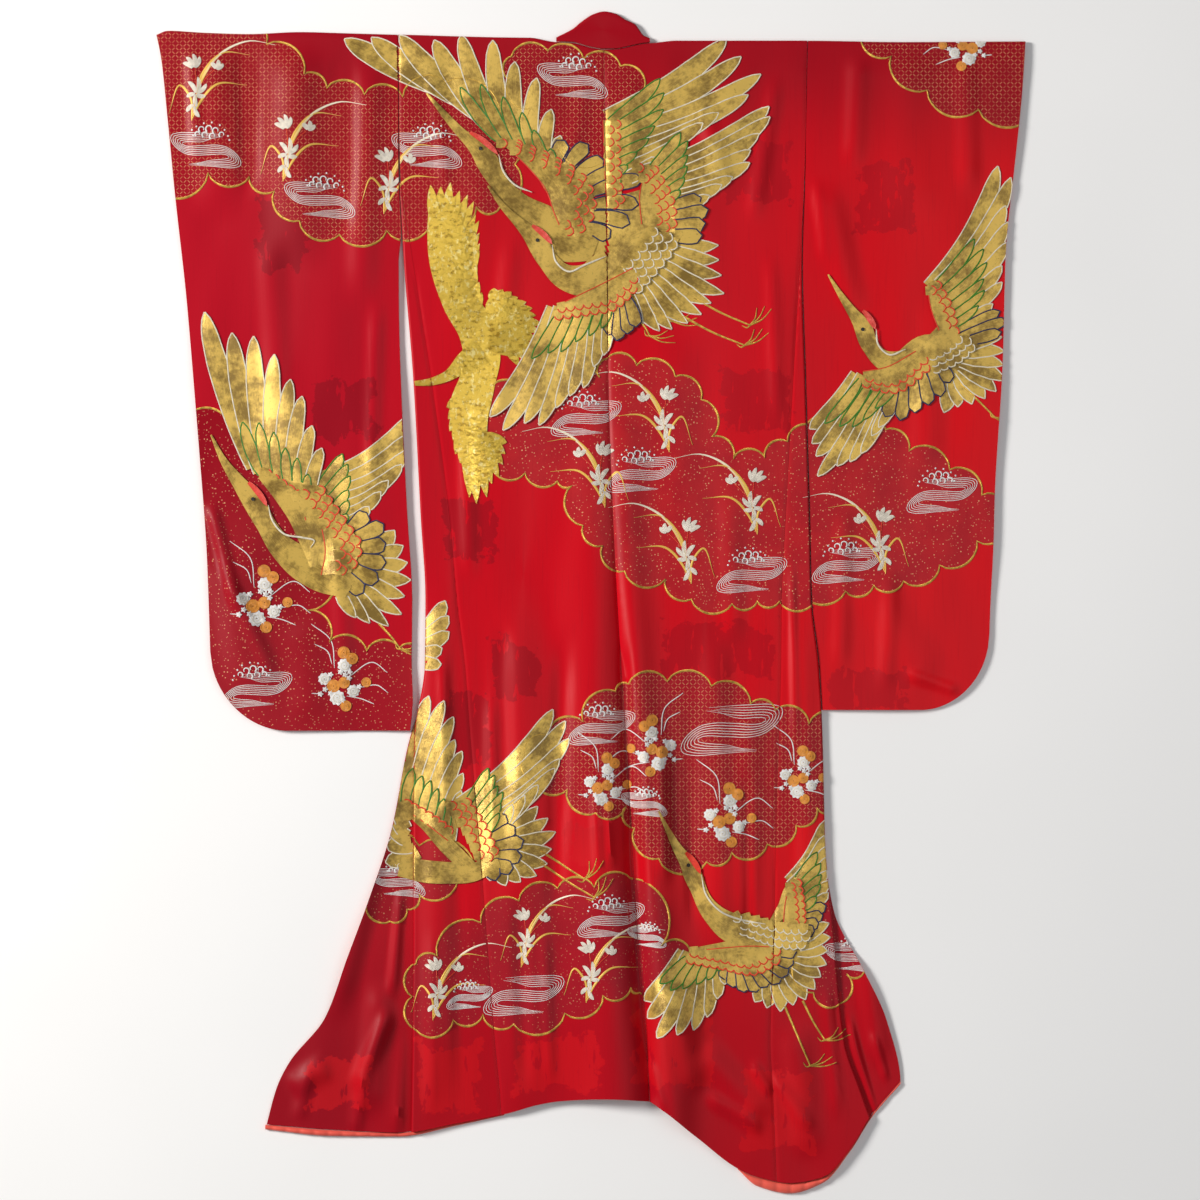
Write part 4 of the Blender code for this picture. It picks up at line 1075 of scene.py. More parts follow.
def foil_gold(name, light, dark, crinkle):
    """Return couched flat gold: foil strips side by side, cloudy and rubbed, with painted glints on the
    crinkled gold.
    """
    looks = Looks(name)
    across, _, _ = looks.axes(looks.mark("stitch", "Vector"))
    cloudy = looks.grain(24.0 + 66.0 * crinkle, 24.0 + 150.0 * crinkle, 24.0, 6.0, roughness=0.60)
    streaks = looks.grain(900.0, 70.0, 0.0, 3.0, looks.mark("stitch", "Vector"))
    rubbed = looks.ramp(looks.noise(230.0, 3.0), 0.60, 0.72)
    tone = looks.times(streaks, 0.22, cloudy)
    tone = looks.times(looks.noise(170.0, 4.0), 0.30, tone)
    colour = looks.blend(looks.ramp(tone, 0.59 - 0.02 * crinkle, 0.87 - 0.12 * crinkle), dark, light)
    colour = looks.blend(looks.times(rubbed, 0.45 - 0.25 * crinkle), colour, dark)
    # Painted glints: scattered spots of near-white gold on the crinkled gold stand in for highlights.
    painted_glints = looks.ramp(looks.grain(150.0, 95.0, 95.0, 5.0, roughness=0.65), 0.55, 0.61)
    colour = looks.blend(looks.times(painted_glints, 0.75 * crinkle), colour, GLINT)
    strips = looks.math("SINE", looks.times(across, 2 * math.pi / FOIL_STRIP))
    lumps = looks.noise(330.0 - 180.0 * crinkle, 3.0)
    height = looks.times(lumps, 1.0 + 3.0 * crinkle, looks.times(strips, 0.22))
    rough = looks.times(cloudy, 0.22, 0.26)
    looks.set(Base_Color=colour, Roughness=rough, Metallic=0.45, Specular_IOR_Level=0.5)
    looks.relief(height, 0.35 + 0.55 * crinkle, 0.0006 + 0.0005 * crinkle)
    return looks.material


def twisted_thread(name, thread):
    """Return a twisted thread, couched or stitched, with painted shade in the grooves of its twist."""
    looks = Looks(name)
    across, along, _ = looks.axes(looks.mark("stitch", "Vector"))
    slant = looks.times(across, 1.4, along)
    twist = looks.math("SINE", looks.times(slant, 2 * math.pi / TWIST))
    shade = tuple(part * thread.dark for part in thread.colour)
    uneven = looks.ramp(looks.noise(140.0, 3.0), 0.35, 0.70)
    colour = looks.blend(uneven, thread.colour, shade)
    # Painted shade: the grooves of the twist are darkened towards half the thread's colour.
    painted_groove_shade = looks.ramp(twist, 0.0, -1.0, 0.35)
    colour = looks.blend(painted_groove_shade, colour, tuple(part * 0.5 for part in thread.colour))
    looks.set(Base_Color=colour, Roughness=looks.times(uneven, 0.15, 0.42))
    looks.set(Sheen_Weight=thread.sheen, Metallic=thread.metal, Specular_IOR_Level=0.4)
    looks.relief(twist, 0.45, 0.0003)
    return looks.material


def leaf_thread():
    """Return satin stitch that passes from gold at a leaf's base to white at its tip."""
    looks = Looks("leaf_thread")
    across, _, fade = looks.axes(looks.mark("stitch", "Vector"))
    uneven = looks.grain(2400.0, 90.0, 0.0, places=looks.mark("stitch", "Vector"))
    share = looks.times(looks.minus(uneven, 0.5), 0.5, fade)
    colour = looks.blend(looks.ramp(share, 0.25, 0.70), GOLD_CORD, THREADS["cream"].colour)
    strands = looks.math("SINE", looks.times(across, 2 * math.pi / FOIL_STRIP))
    looks.set(Base_Color=colour, Roughness=looks.times(uneven, 0.2, 0.34))
    looks.set(Metallic=0.15, Sheen_Weight=0.2, Specular_IOR_Level=0.45)
    looks.relief(strands, 0.30, 0.0003)
    return looks.material


def all_looks():
    """Return every material by name."""
    made = {name: twisted_thread(name, thread) for name, thread in THREADS.items()}
    made["leaf_thread"] = leaf_thread()
    made["antique_gold"] = foil_gold("antique_gold", GOLD_LIGHT, GOLD_DARK, 0.0)
    made["bright_gold"] = foil_gold("bright_gold", BRIGHT_GOLD, BRIGHT_GOLD_DEEP, 1.0)
    made["red_silk"] = silk()
    made["lining"] = lining_silk("lining_silk")
    return made


def make_cloth(looks):
    """Build the shells of every CAD piece."""
    face_up, face_down = (looks["red_silk"], looks["lining"]), (looks["lining"], looks["red_silk"])
    half = SEAM_GAP / 2
    make_back("back_left", SEAM_LEFT_X, moved(CENTRE_X, -half), face_up)
    make_back("back_right", moved(CENTRE_X, half), SEAM_RIGHT_X, face_up)
    inset = EDGE_TURN + FRONT_INSET
    inner = {}
    for side, rows in (("left", FLARE_LEFT), ("right", FLARE_RIGHT)):
        turn, neck = curve_through(rows, "y", "turn"), curve_through(FRONT_NECK, "y", side)
        inner[side] = lambda y, turn=turn, neck=neck: np.where(y > OVERLAP_TOP, neck(y), turn(y))
    make_front("front_left", moved(FOLD_LEFT_X, inset), inner["left"], face_down)
    make_front("front_right", inner["right"], moved(FOLD_RIGHT_X, -inset), face_down)
    make_side_strip("front_left_turn", SEAM_LEFT_X, FOLD_LEFT_X, face_up)
    make_side_strip("front_right_turn", SEAM_RIGHT_X, FOLD_RIGHT_X, face_up)
    make_overlap("overlap_left", FLARE_LEFT, face_up)
    make_overlap("overlap_right", FLARE_RIGHT, face_up)
    make_sleeve("sleeve_left", SLEEVE_LEFT, SLEEVE_LEFT_CUT, face_up)
    make_sleeve("sleeve_right", SLEEVE_RIGHT, SLEEVE_RIGHT_CUT, face_up)
    make_collar_neck(face_up)
    make_collar_run("collar_left", FLARE_LEFT, "left", -1, (looks["red_silk"],))
    make_collar_run("collar_right", FLARE_RIGHT, "right", 1, (looks["red_silk"],))
    for panel in PANELS:
        mark_figures(panel)
    make_hem_roll("hem_roll_left", HEM_ROLL_LEFT_SPAN, (looks["lining"],))
    make_hem_roll("hem_roll_right", HEM_ROLL_RIGHT_SPAN, (looks["lining"],))


# ---- embroidery: every shape is a grid of points (x, y, lift, across, along, fade)
Stitch = namedtuple("Stitch", "thread place grid")
STITCHES = []


def leftward(line, closed=False):
    """Return unit vectors to the left of a line's direction."""
    run = np.roll(line, -1, axis=0) - np.roll(line, 1, axis=0) if closed else np.gradient(line, axis=0)
    run = run / np.maximum(np.linalg.norm(run, axis=1, keepdims=True), 1e-9)
    return np.stack([-run[:, 1], run[:, 0]], axis=-1)


def ribbon(thread, line, half, lift, crown, columns=5, place=None, closed=False, fade=None):
    """Lay a strip along a line, domed across its width."""
    line = np.asarray(line, dtype=float)
    side = leftward(line, closed)
    half = np.broadcast_to(half, len(line))
    if closed:
        line, side, half = [np.concatenate([part, part[:1]]) for part in (line, side, half)]
    across = np.linspace(-1, 1, columns)
    xy = line[:, None] + side[:, None] * across[None, :, None] * half[:, None, None]
    along = np.concatenate([[0], np.cumsum(np.linalg.norm(np.diff(line, axis=0), axis=1))])
    grid = np.zeros((len(line), columns, 6))
    grid[..., :2] = xy
    grid[..., 2] = lift + crown * (1 - across[None, :] ** 2)
    grid[..., 3] = across[None, :] * half[:, None]
    grid[..., 4] = along[:, None]
    grid[..., 5] = 0.0 if fade is None else np.asarray(fade)[:, None]
    STITCHES.append(Stitch(thread, place, grid))


def cord(thread, line, width, lift=None, place=None, closed=False):
    """Couch a round cord along a line; width may change along it."""
    lift = CORD_LIFT if lift is None else lift
    ribbon(thread, line, np.asarray(width) / 2, lift, np.max(width) * 0.32, 3, place, closed)


def taper(count, width, ends=0.35):
    """Return widths that run out at both ends of a line."""
    share = np.linspace(0, 1, count)
    return width * (ends + (1 - ends) * np.minimum(1, 6 * np.minimum(share, 1 - share)))


def disc(thread, centre, radius, lift, crown, petals=0, ruffle=0.0, place=None):
    """Lay a round spot, its edge ruffled into petals if wanted."""
    around = np.linspace(0, 2 * np.pi, 4 * max(petals, 4) + 1)
    rings = np.array([0.08, 0.45, 0.8, 1.0])
    edge = 1 + ruffle * np.cos(petals * around)
    reach = radius * rings[:, None] * mix(1.0, edge[None, :], rings[:, None])
    grid = np.zeros((len(rings), len(around), 6))
    grid[..., 0] = centre[0] + reach * np.cos(around)
    grid[..., 1] = centre[1] + reach * np.sin(around)
    grid[..., 2] = lift + crown * (1 - rings[:, None] ** 2) + 0 * around
    grid[..., 3] = reach
    grid[..., 4] = radius * around
    STITCHES.append(Stitch(thread, place, grid))


# ---- feathers
OUTLINES = {
    "blade": ((0, 0.08, 0.3, 0.68, 0.86, 0.95, 1), (1.05, 1.1, 1.1, 1.0, 0.8, 0.5, 0.04)),
    "leaf": ((0, 0.2, 0.55, 0.82, 0.94, 1), (0.45, 0.85, 1.0, 0.78, 0.42, 0.04)),
    "paddle": ((0, 0.3, 0.7, 0.88, 0.96, 1), (0.55, 0.8, 1.0, 0.86, 0.55, 0.05)),
    "scale": ((0, 0.4, 0.75, 0.92, 1), (0.9, 1.0, 0.85, 0.5, 0.05)),
    "point": ((0, 0.35, 0.7, 0.9, 1), (0.65, 1.0, 0.82, 0.4, 0.03)),
}
Row = namedtuple("Row", "style edge roots tips count half bow")
Limb = namedtuple("Limb", "line halves")
Scales = namedtuple("Scales", "edge near far rows count half")
Head = namedtuple("Head", "face neck")
Legs = namedtuple("Legs", "lines")
Crane = namedtuple("Crane", "gold place parts")


def row_of(style, edge):
    """Return a maker of rows: roots, tips, number, first and last half width in mm, and bow."""
    return lambda roots, tips, count, first, last, bow: Row(
        style, edge, roots, tips, count, metres(first, last), bow)


blade, leaf, paddle = row_of("blade", "cream"), row_of("leaf", "green"), row_of("paddle", "navy")
point, plain_point = row_of("point", "cream"), row_of("point", None)


def cover(near, far):
    """Return plain gold between two lines."""
    return Scales(None, near, far, 0, 1, 0.0)


def feather(root, tip, half, bow, style, fill, edge, lift, place):
    """Lay one feather and couch its outline."""
    root, tip = np.asarray(root, dtype=float), np.asarray(tip, dtype=float)
    chord = tip - root
    length = math.hypot(*chord)
    small = style == "scale"
    share = np.linspace(0, 1, 8 if small else int(np.clip(length / 0.0065, 9, 26)))
    sideways = np.array([-chord[1], chord[0]])
    swing = (4 * share * (1 - share) * bow)[:, None]
    centre = root + chord * share[:, None] + sideways * swing
    wide = half * np.interp(share, *OUTLINES[style])
    ribbon(fill, centre, wide, lift, FILL_CROWN, 3 if small else 5, place)
    if edge:
        side = leftward(centre) * wide[:, None]
        outline = np.concatenate([centre + side, (centre - side)[::-1]])
        if small:
            outline = outline[len(share) // 2:-(len(share) // 2)]
        cord(edge, outline, EDGE_WIDTH[edge], lift + FILL_CROWN * 0.6, place)


def fan(row, fill, lift, place):
    """Lay a row of feathers side by side, each a little over the one before."""
    roots, tips = smooth_path(row.roots, row.count), smooth_path(row.tips, row.count)
    halves = np.linspace(row.half[0], row.half[1], row.count) * FULLNESS[row.style]
    for rank in range(row.count):
        wobble = 1 + 0.04 * math.sin(rank * 2.4 + row.tips[0][0] * 40)
        tip = mix(roots[rank], tips[rank], wobble if row.style != "scale" else 1.0)
        step = lift + rank * ROW_STEP
        feather(roots[rank], tip, halves[rank], row.bow, row.style, fill, row.edge, step, place)


def field(near, far, fill, lift, place):
    """Fill the space between two lines, softly domed."""
    near, far = smooth_path(near, 24), smooth_path(far, 24)
    share = np.linspace(0, 1, 9)[None, :, None]
    grid = np.zeros((24, 9, 6))
    grid[..., :2] = mix(near[:, None], far[:, None], share)
    grid[..., 2] = lift + FILL_CROWN * np.sin(np.pi * share[..., 0])
    grid[..., 3] = share[..., 0] * np.linalg.norm(far - near, axis=1)[:, None]
    grid[..., 4] = np.linspace(0, 1, 24)[:, None] * np.linalg.norm(far[-1] - far[0])
    STITCHES.append(Stitch(fill, place, grid))


def scale_rows(rows, fill, lift, place):
    """Fill up to a far line, and lay rows of small rounded feathers back from it."""
    field(rows.near, rows.far, fill, lift, place)
    if rows.edge == "vermilion":
        cord(rows.edge, smooth_path(rows.near, 30), NEAR_CORD, lift + 0.0004, place)
    for rank in range(rows.rows):
        shares = (np.arange(rows.count) + 0.25 + 0.5 * (rank % 2)) / rows.count
        chosen = np.clip(shares * 199, 0, 199).astype(int)
        near, far = smooth_path(rows.near, 200)[chosen], smooth_path(rows.far, 200)[chosen]
        back = (near - far) / np.linalg.norm(near - far, axis=1, keepdims=True) * rows.half * SCALE_PITCH
        for spot in range(rows.count):
            step = lift + SCALE_LIFT + rank * SCALE_RANK_STEP + spot * SCALE_STEP
            tip = far[spot] + back[spot] * (rank - 0.3)
            feather(tip + back[spot] * 1.5, tip, rows.half, 0.0, "scale", fill, rows.edge, step, place)


def toes(foot, away, lift, place):
    """Couch three splayed toes and the short one behind."""
    forward = np.asarray(away) / max(math.hypot(*away), 1e-9)
    sideways = np.array([-forward[1], forward[0]])
    for spread, reach in TOES:
        tip = foot + (forward * math.cos(spread) + sideways * math.sin(spread)) * reach
        middle = mix(foot, tip, 0.5) - sideways * 0.004
        line = smooth_path([foot, middle, tip], 9)
        cord("gold_cord", line, np.linspace(*TOE_WIDTHS, 9), lift, place)


def hide_covered(first, fills):
    """Leave out the stretches of cords that later fills lie over."""
    laid = STITCHES[first:]
    del STITCHES[first:]
    for rank, stitch in enumerate(laid):
        if stitch.thread in fills or stitch.thread == "gold_cord" or stitch.grid.shape[1] != 3:
            STITCHES.append(stitch)
            continue
        rows = len(stitch.grid)
        steps = np.linspace(0, rows - 1, 2 * rows - 1)
        low = np.minimum(steps.astype(int), rows - 2)
        grid = mix(stitch.grid[low], stitch.grid[low + 1], (steps - low)[:, None, None])
        middle = grid[:, 1, :2]
        shown = np.ones(len(grid), dtype=bool)
        for other in laid[rank + 1:]:
            if other.thread in fills:
                edges = np.concatenate([other.grid[:, 0, :2], other.grid[::-1, -1, :2]])
                near = (edges.min(axis=0) < middle.max(axis=0)) & (edges.max(axis=0) > middle.min(axis=0))
                if near.all():
                    apart = edges + NUDGE * np.arange(len(edges))[:, None]
                    shown &= inside_by(apart, *middle.T) < COVERED_BY
        cuts = np.flatnonzero(np.diff(shown.astype(int))) + 1
        for part, open_part in zip(np.split(grid, cuts), np.split(shown, cuts)):
            if open_part[0] and len(part) > 3:
                STITCHES.append(Stitch(stitch.thread, stitch.place, part))


def embroider_crane(crane):
    """Lay one crane from the parts that lie lowest to those on top."""
    lift, first = FILL_LIFT, len(STITCHES)
    for part in crane.parts:
        if isinstance(part, Row):
            fan(part, crane.gold, lift, crane.place)
            lift += ROW_LIFT
        elif isinstance(part, Scales):
            scale_rows(part, crane.gold, lift, crane.place)
            lift += ROW_LIFT
        elif isinstance(part, Limb):
            line = smooth_path(part.line, LIMB_STEPS)
            halves = smooth_path(list(enumerate(part.halves)), LIMB_STEPS)
            shares = halves[:, 0] / halves[-1, 0]
            wide = np.interp(np.linspace(0, 1, LIMB_STEPS), shares, halves[:, 1])
            ribbon(crane.gold, line, wide, lift, FILL_CROWN * 2, 9, crane.place)
            lift += ROW_LIFT
        elif isinstance(part, Head):
            eye, *crown = part.face
            disc("black", eye, EYE_RADIUS, lift + 0.0008, 0.0004, place=crane.place)
            feather(*crown, CROWN_HALF, 0.05, "leaf", "crown", None, lift + 0.0002, crane.place)
            line = smooth_path(part.neck, 30)
            cord("cream", line, taper(30, NECK_CORD), lift + 0.0004, crane.place)
        elif isinstance(part, Legs):
            for line in part.lines:
                leg = smooth_path(line[:-1], 20)
                cord("gold_cord", leg, np.linspace(*LEG_WIDTHS, 20), lift, crane.place)
                toes(np.asarray(line[-2]), np.subtract(line[-1], line[-2]), lift, crane.place)
    hide_covered(first, (crane.gold, "crown"))


CRANES = [
    Crane("antique_gold", None, [
        cover(mm(-191,768, -145,711, -92,654, -64,610), mm(-145,768, -83,729, -44,680, -4,627)),
        blade(mm(-189,766, -145,711, -83,658, -53,645), mm(-374,846, -308,846, -237,847, -185,845, -145,842,
            -110,808, -77,775, -57,737, -46,698), 10, 15, 8.5, 0.04),
        paddle(mm(-53,654, -22,636, -4,610, -2,583, -17,548), mm(-39,693, -12,687, 11,675, 26,652, 71,641,
            74,614, 71,586, 27,546, -2,528), 9, 9.8, 9.8, 0.06),
        Limb(mm(-246,762, -220,731, -196,704, -165,675, -147,645, -123,610, -83,575, -44,546, 5,526),
            metres(1.4, 5, 8.5, 16.5, 15, 18.5, 30, 33, 16)),
        leaf(mm(-127,685, -92,671, -64,663, -55,654), mm(-198,774, -166,773, -132,757, -105,736, -81,700,
            -61,680), 6, 8.5, 6, 0.05),
        Scales("vermilion", mm(-136,689, -92,649, -68,619, -55,583, -44,557), mm(-110,687, -53,663, -4,627,
            5,588, -22,546), 3, 10, 0.0072),
        Head(mm(-165,679, -181,703, -139,670), mm(-138,670, -131,645, -114,625, -88,614)),
    ]),
    Crane("antique_gold", "body", [
        Legs([mm(154,456, 194,434, 238,415, 275,440), mm(137,429, 181,405, 230,385, 274,405), mm(93,434,
            115,425, 123,421, 156,415), mm(71,425, 84,407, 88,399, 132,385)]),
        cover(mm(-17,592, -9,544, 18,500), mm(106,627, 119,575, 101,513)),
        point(mm(66,548, 79,522, 71,487, 44,465), mm(186,535, 196,497, 189,451, 162,432, 143,418, 112,405,
            93,413, 73,416, 55,414), 11, 15, 10, -0.06),
        blade(mm(24,722, 33,689, 42,654, 57,636), mm(196,839, 232,819, 253,794, 216,746, 176,724, 141,698,
            101,667), 8, 13.5, 8.5, -0.05),
        leaf(mm(27,720, 27,685, 29,645, 31,627), mm(106,786, 108,758, 106,732, 94,708, 76,682, 57,658,
            44,632), 8, 8.5, 5.5, -0.05),
        Scales("vermilion", mm(18,722, 20,663, 24,592), mm(42,720, 42,654, 49,588), 2, 7, 0.0066),
        blade(mm(82,641, 90,614, 101,588), mm(274,746, 249,696, 236,663, 223,644, 193,623, 176,608), 8, 12.5,
            8, -0.06),
        paddle(mm(106,592, 110,570, 106,553), mm(164,605, 174,587, 173,566, 164,549), 4, 9.8, 9.8, -0.05),
        leaf(mm(86,645, 97,623, 110,601), mm(135,705, 144,683, 145,660, 139,636, 134,617), 6, 8, 5.8, -0.05),
        Scales("vermilion", mm(83,652, 73,610, 76,566), mm(96,650, 123,597, 126,553), 3, 6, 0.0072),
        blade(mm(-53,440, -17,445, 24,456), mm(-150,280, -132,262, -87,266, -50,291, -24,315, -4,332, 7,355,
            19,372), 9, 11.5, 7.5, 0.05),
        paddle(mm(33,447, 44,451, 53,456), mm(26,402, 36,391, 52,399, 67,414), 4, 8.5, 8.5, 0.05),
        leaf(mm(-44,438, -4,445, 29,451), mm(-88,366, -68,370, -43,378, -21,390, -2,399, 16,412), 6, 7.5, 5.5,
            0.04),
        Limb(mm(-154,623, -133,594, -110,570, -83,543, -67,515, -39,487, -4,482, 33,504), metres(1.4, 4.5, 8,
            15.5, 15, 20, 27, 30)),
        Scales("cream", mm(18,495, 29,526, 53,550, 84,561), mm(71,465, 97,495, 119,522, 132,544), 4, 6,
            0.0076),
        Scales("vermilion", mm(-53,443, -13,462, 27,482, 62,500), mm(-50,425, -4,432, 35,440, 71,473), 2, 10,
            0.0068),
        Head(mm(-80,542, -88,564, -58,536), mm(-58,535, -52,509, -34,495, -9,505, 22,518)),
    ]),
    Crane("bright_gold", "body", [
        plain_point(mm(-220,539, -207,495, -185,456, -171,438), mm(-240,624, -213,625, -188,613, -174,592,
            -168,564, -166,537, -169,515, -171,495, -163,465), 15, 10.5, 6, 0.03),
        plain_point(mm(-145,394, -138,412, -136,434, -145,451), mm(-88,368, -78,381, -110,355, -74,407,
            -83,434, -101,452, -127,467, -145,471), 18, 8.5, 8.5, 0),
        plain_point(mm(-185,306, -176,267, -163,249), mm(-217,292, -206,235, -187,185, -177,148, -160,156,
            -143,184, -131,206, -127,240), 16, 11, 9, 0),
        Limb(mm(-237,614, -232,566, -222,509, -198,451, -171,407, -163,368, -171,328, -182,289, -176,240),
            metres(3, 13, 19, 23, 27, 28, 27, 30, 20)),
        plain_point(mm(-224,557, -211,500, -193,460), mm(-202,610, -185,575, -180,539, -176,500, -171,465),
            11, 8, 6, 0.03),
        plain_point(mm(-154,385, -149,407, -152,434), mm(-110,372, -88,403, -101,434, -127,456, -145,460), 13,
            8, 8, 0),
        Limb(mm(-264,328, -242,330, -215,339, -189,359, -163,377), metres(3.5, 6, 9, 16, 20)),
    ]),
    Crane("antique_gold", "sleeve_left", [
        Legs([mm(-318,-31, -297,-54, -285,-70, -272,-74)]),
        point(mm(-330,74, -338,41, -359,24, -379,20), mm(-295,107, -279,80, -272,49, -276,14, -287,-21,
            -313,-36, -332,-32, -353,-21), 9, 13.5, 8.5, -0.04),
        blade(mm(-408,181, -388,152, -367,119), mm(-272,279, -270,247, -276,219, -295,193, -306,176, -320,161,
            -332,144), 7, 12, 7.5, -0.1),
        leaf(mm(-408,173, -394,140, -377,115), mm(-371,224, -363,200, -362,176, -364,152, -366,133), 6, 8.5,
            6, -0.06),
        paddle(mm(-363,111, -355,86, -359,57, -383,39), mm(-335,135, -312,116, -306,88, -307,61, -318,36,
            -338,14, -369,16), 7, 10, 10, -0.05),
        blade(mm(-501,205, -470,181, -441,166, -423,160), mm(-576,427, -523,404, -482,378, -449,338, -435,307,
            -421,280, -413,254, -403,231), 8, 13.5, 8.5, 0.03),
        leaf(mm(-492,189, -462,175, -425,156), mm(-523,273, -497,268, -474,253, -455,230, -436,210, -424,193),
            6, 8.5, 6, 0.03),
        Limb(mm(-569,251, -550,212, -527,179, -505,150, -488,119, -466,86, -437,61, -404,41, -363,16),
            metres(1.2, 5, 10, 16, 14.5, 19, 25, 24, 10)),
        cover(mm(-478,185, -453,152, -429,107, -408,57), mm(-404,173, -371,119, -355,82, -371,37)),
        Limb(mm(-494,191, -462,160, -437,127, -420,86, -416,53), metres(6, 12, 15, 15, 5)),
        Scales("vermilion", mm(-495,197, -457,168, -433,144, -427,123), mm(-484,192, -447,169, -424,154,
            -418,131), 1, 7, 0.008),
        Scales("vermilion", mm(-420,168, -404,115, -398,74, -404,41), mm(-404,172, -367,119, -346,86,
            -359,45), 3, 8, 0.0078),
        Head(mm(-506,155, -513,180, -485,144), mm(-483,146, -478,125, -460,103, -431,97, -414,92, -420,82)),
    ]),
    Crane("antique_gold", "sleeve_right", [
        Legs([mm(552,328, 581,301, 605,277, 620,271)]),
        cover(mm(490,386, 520,416, 535,454), mm(546,337, 581,361, 584,427)),
        point(mm(538,334, 553,356, 546,379), mm(529,286, 556,293, 578,302, 602,310, 615,326, 620,355, 618,379,
            614,397), 9, 12.5, 10, 0.04),
        blade(mm(509,469, 514,442, 523,409), mm(612,658, 626,622, 624,589, 623,553, 621,520, 614,484,
            603,448), 8, 12.5, 8, -0.07),
        paddle(mm(538,401, 546,386), mm(614,437, 620,424, 617,406), 3, 7.5, 7.5, 0),
        leaf(mm(512,469, 517,442, 529,409), mm(576,547, 590,520, 591,493, 587,466, 581,445), 6, 7.8, 5.5,
            -0.05),
        blade(mm(401,340, 433,337, 471,349), mm(329,262, 332,236, 335,214, 341,196, 370,202, 392,214, 408,229,
            421,250, 432,265), 9, 11, 7.5, 0.05),
        paddle(mm(456,322, 493,346, 516,364), mm(440,277, 458,274, 477,280, 496,289, 520,307, 538,328), 6,
            8.5, 8.5, 0.04),
        leaf(mm(404,334, 433,331, 464,337), mm(352,271, 370,262, 389,262, 407,274, 424,289), 5, 7.2, 5.5,
            0.04),
        Limb(mm(355,491, 370,466, 386,442, 407,412, 417,386, 436,364, 464,358, 501,376, 546,371), metres(1.2,
            4, 7.5, 13.5, 12.5, 17, 22, 24, 10)),
        Scales("vermilion", mm(503,476, 509,439, 523,401), mm(520,478, 541,436, 550,394), 2, 6, 0.0072),
        Scales("cream", mm(481,379, 506,400, 532,412), mm(517,346, 550,361, 578,385), 3, 6, 0.0072),
        Scales("vermilion", mm(407,346, 441,352, 486,376), mm(410,325, 456,316, 512,355), 2, 8, 0.007),
        Head(mm(407,409, 407,437, 426,409), mm(427,409, 430,386, 446,371, 471,379)),
    ]),
    Crane("antique_gold", "body", [
        Legs([mm(-76,-371, -39,-395, -9,-413, 27,-380), mm(-76,-389, -37,-416, 5,-440, 35,-413)]),
        point(mm(-137,-356, -129,-374, -144,-394), mm(-80,-305, -60,-326, -56,-352, -60,-380, -78,-404,
            -102,-418, -124,-422, -151,-416), 9, 12.5, 10, -0.04),
        blade(mm(-287,-296, -264,-314, -239,-335, -211,-356), mm(-269,-131, -233,-137, -208,-170, -201,-206,
            -194,-229, -191,-248, -192,-266, -194,-281), 8, 12, 7.5, 0.04),
        blade(mm(-194,-305, -181,-335, -167,-371), mm(-52,-155, -37,-190, -37,-220, -52,-244, -69,-262,
            -83,-277, -102,-290, -119,-304), 8, 12, 7.5, -0.07),
        blade(mm(-260,-371, -275,-356, -281,-329), mm(-307,-389, -304,-353, -295,-319, -287,-281), 5, 11, 10,
            0.05),
        paddle(mm(-167,-335, -154,-359, -151,-383, -161,-395), mm(-151,-313, -126,-319, -110,-338, -102,-361,
            -104,-380, -116,-397, -137,-407), 7, 9.2, 9.2, -0.05),
        leaf(mm(-279,-314, -249,-335, -217,-353), mm(-267,-251, -249,-259, -236,-272, -222,-287, -211,-305),
            6, 7.8, 5.5, 0.03),
        leaf(mm(-194,-314, -181,-335, -167,-353), mm(-154,-248, -141,-266, -134,-281, -134,-296, -137,-314),
            6, 7.8, 5.5, -0.05),
        Limb(mm(-287,-395, -257,-401, -219,-404, -181,-404, -137,-389), metres(15, 17, 16, 14, 7)),
        Limb(mm(-284,-305, -249,-329, -214,-365, -181,-398), metres(6, 10, 12, 12)),
        Scales("vermilion", mm(-287,-305, -249,-329, -214,-356), mm(-275,-299, -236,-320, -203,-344), 1, 7,
            0.0078),
        Scales("vermilion", mm(-200,-299, -188,-341, -170,-389), mm(-184,-296, -158,-335, -137,-380), 3, 7,
            0.0072),
    ]),
    Crane("antique_gold", "body", [
        blade(mm(-260,-56, -263,-71, -263,-86), mm(-217,4, -213,-23, -214,-47, -221,-68, -225,-92), 5, 10,
            8.5, -0.05),
    ]),
    Crane("antique_gold", "body", [
        Legs([mm(290,-604, 310,-651, 328,-693, 366,-690), mm(317,-596, 333,-628, 350,-655, 377,-651)]),
        point(mm(261,-561, 292,-551, 308,-521, 312,-507), mm(245,-598, 260,-606, 281,-610, 306,-603, 330,-584,
            345,-561, 352,-534, 358,-501, 355,-481), 11, 12.5, 10, 0.05),
        blade(mm(298,-420, 305,-447, 312,-467), mm(348,-330, 352,-360, 354,-390, 356,-417, 355,-437,
            348,-450), 8, 9.5, 6.5, -0.08),
        paddle(mm(312,-464, 313,-481, 308,-494), mm(350,-454, 349,-464, 342,-477, 334,-491, 325,-503), 5, 7.5,
            7.5, -0.04),
        leaf(mm(304,-420, 310,-444, 317,-459), mm(337,-375, 345,-394, 344,-414, 337,-439), 5, 7.2, 5.5,
            -0.04),
        blade(mm(142,-524, 164,-526, 196,-534), mm(80,-596, 86,-631, 107,-648, 146,-642, 168,-626, 183,-604,
            193,-589, 200,-570), 8, 11.5, 7, 0.04),
        paddle(mm(201,-537, 228,-551, 258,-544, 278,-524), mm(200,-563, 214,-578, 233,-583, 252,-581,
            270,-573, 289,-564, 302,-544, 306,-523), 9, 8.8, 8.8, 0.05),
        leaf(mm(147,-529, 171,-532, 196,-534), mm(101,-569, 121,-578, 144,-574, 164,-570, 178,-561, 190,-551),
            6, 7.8, 5.5, 0.03),
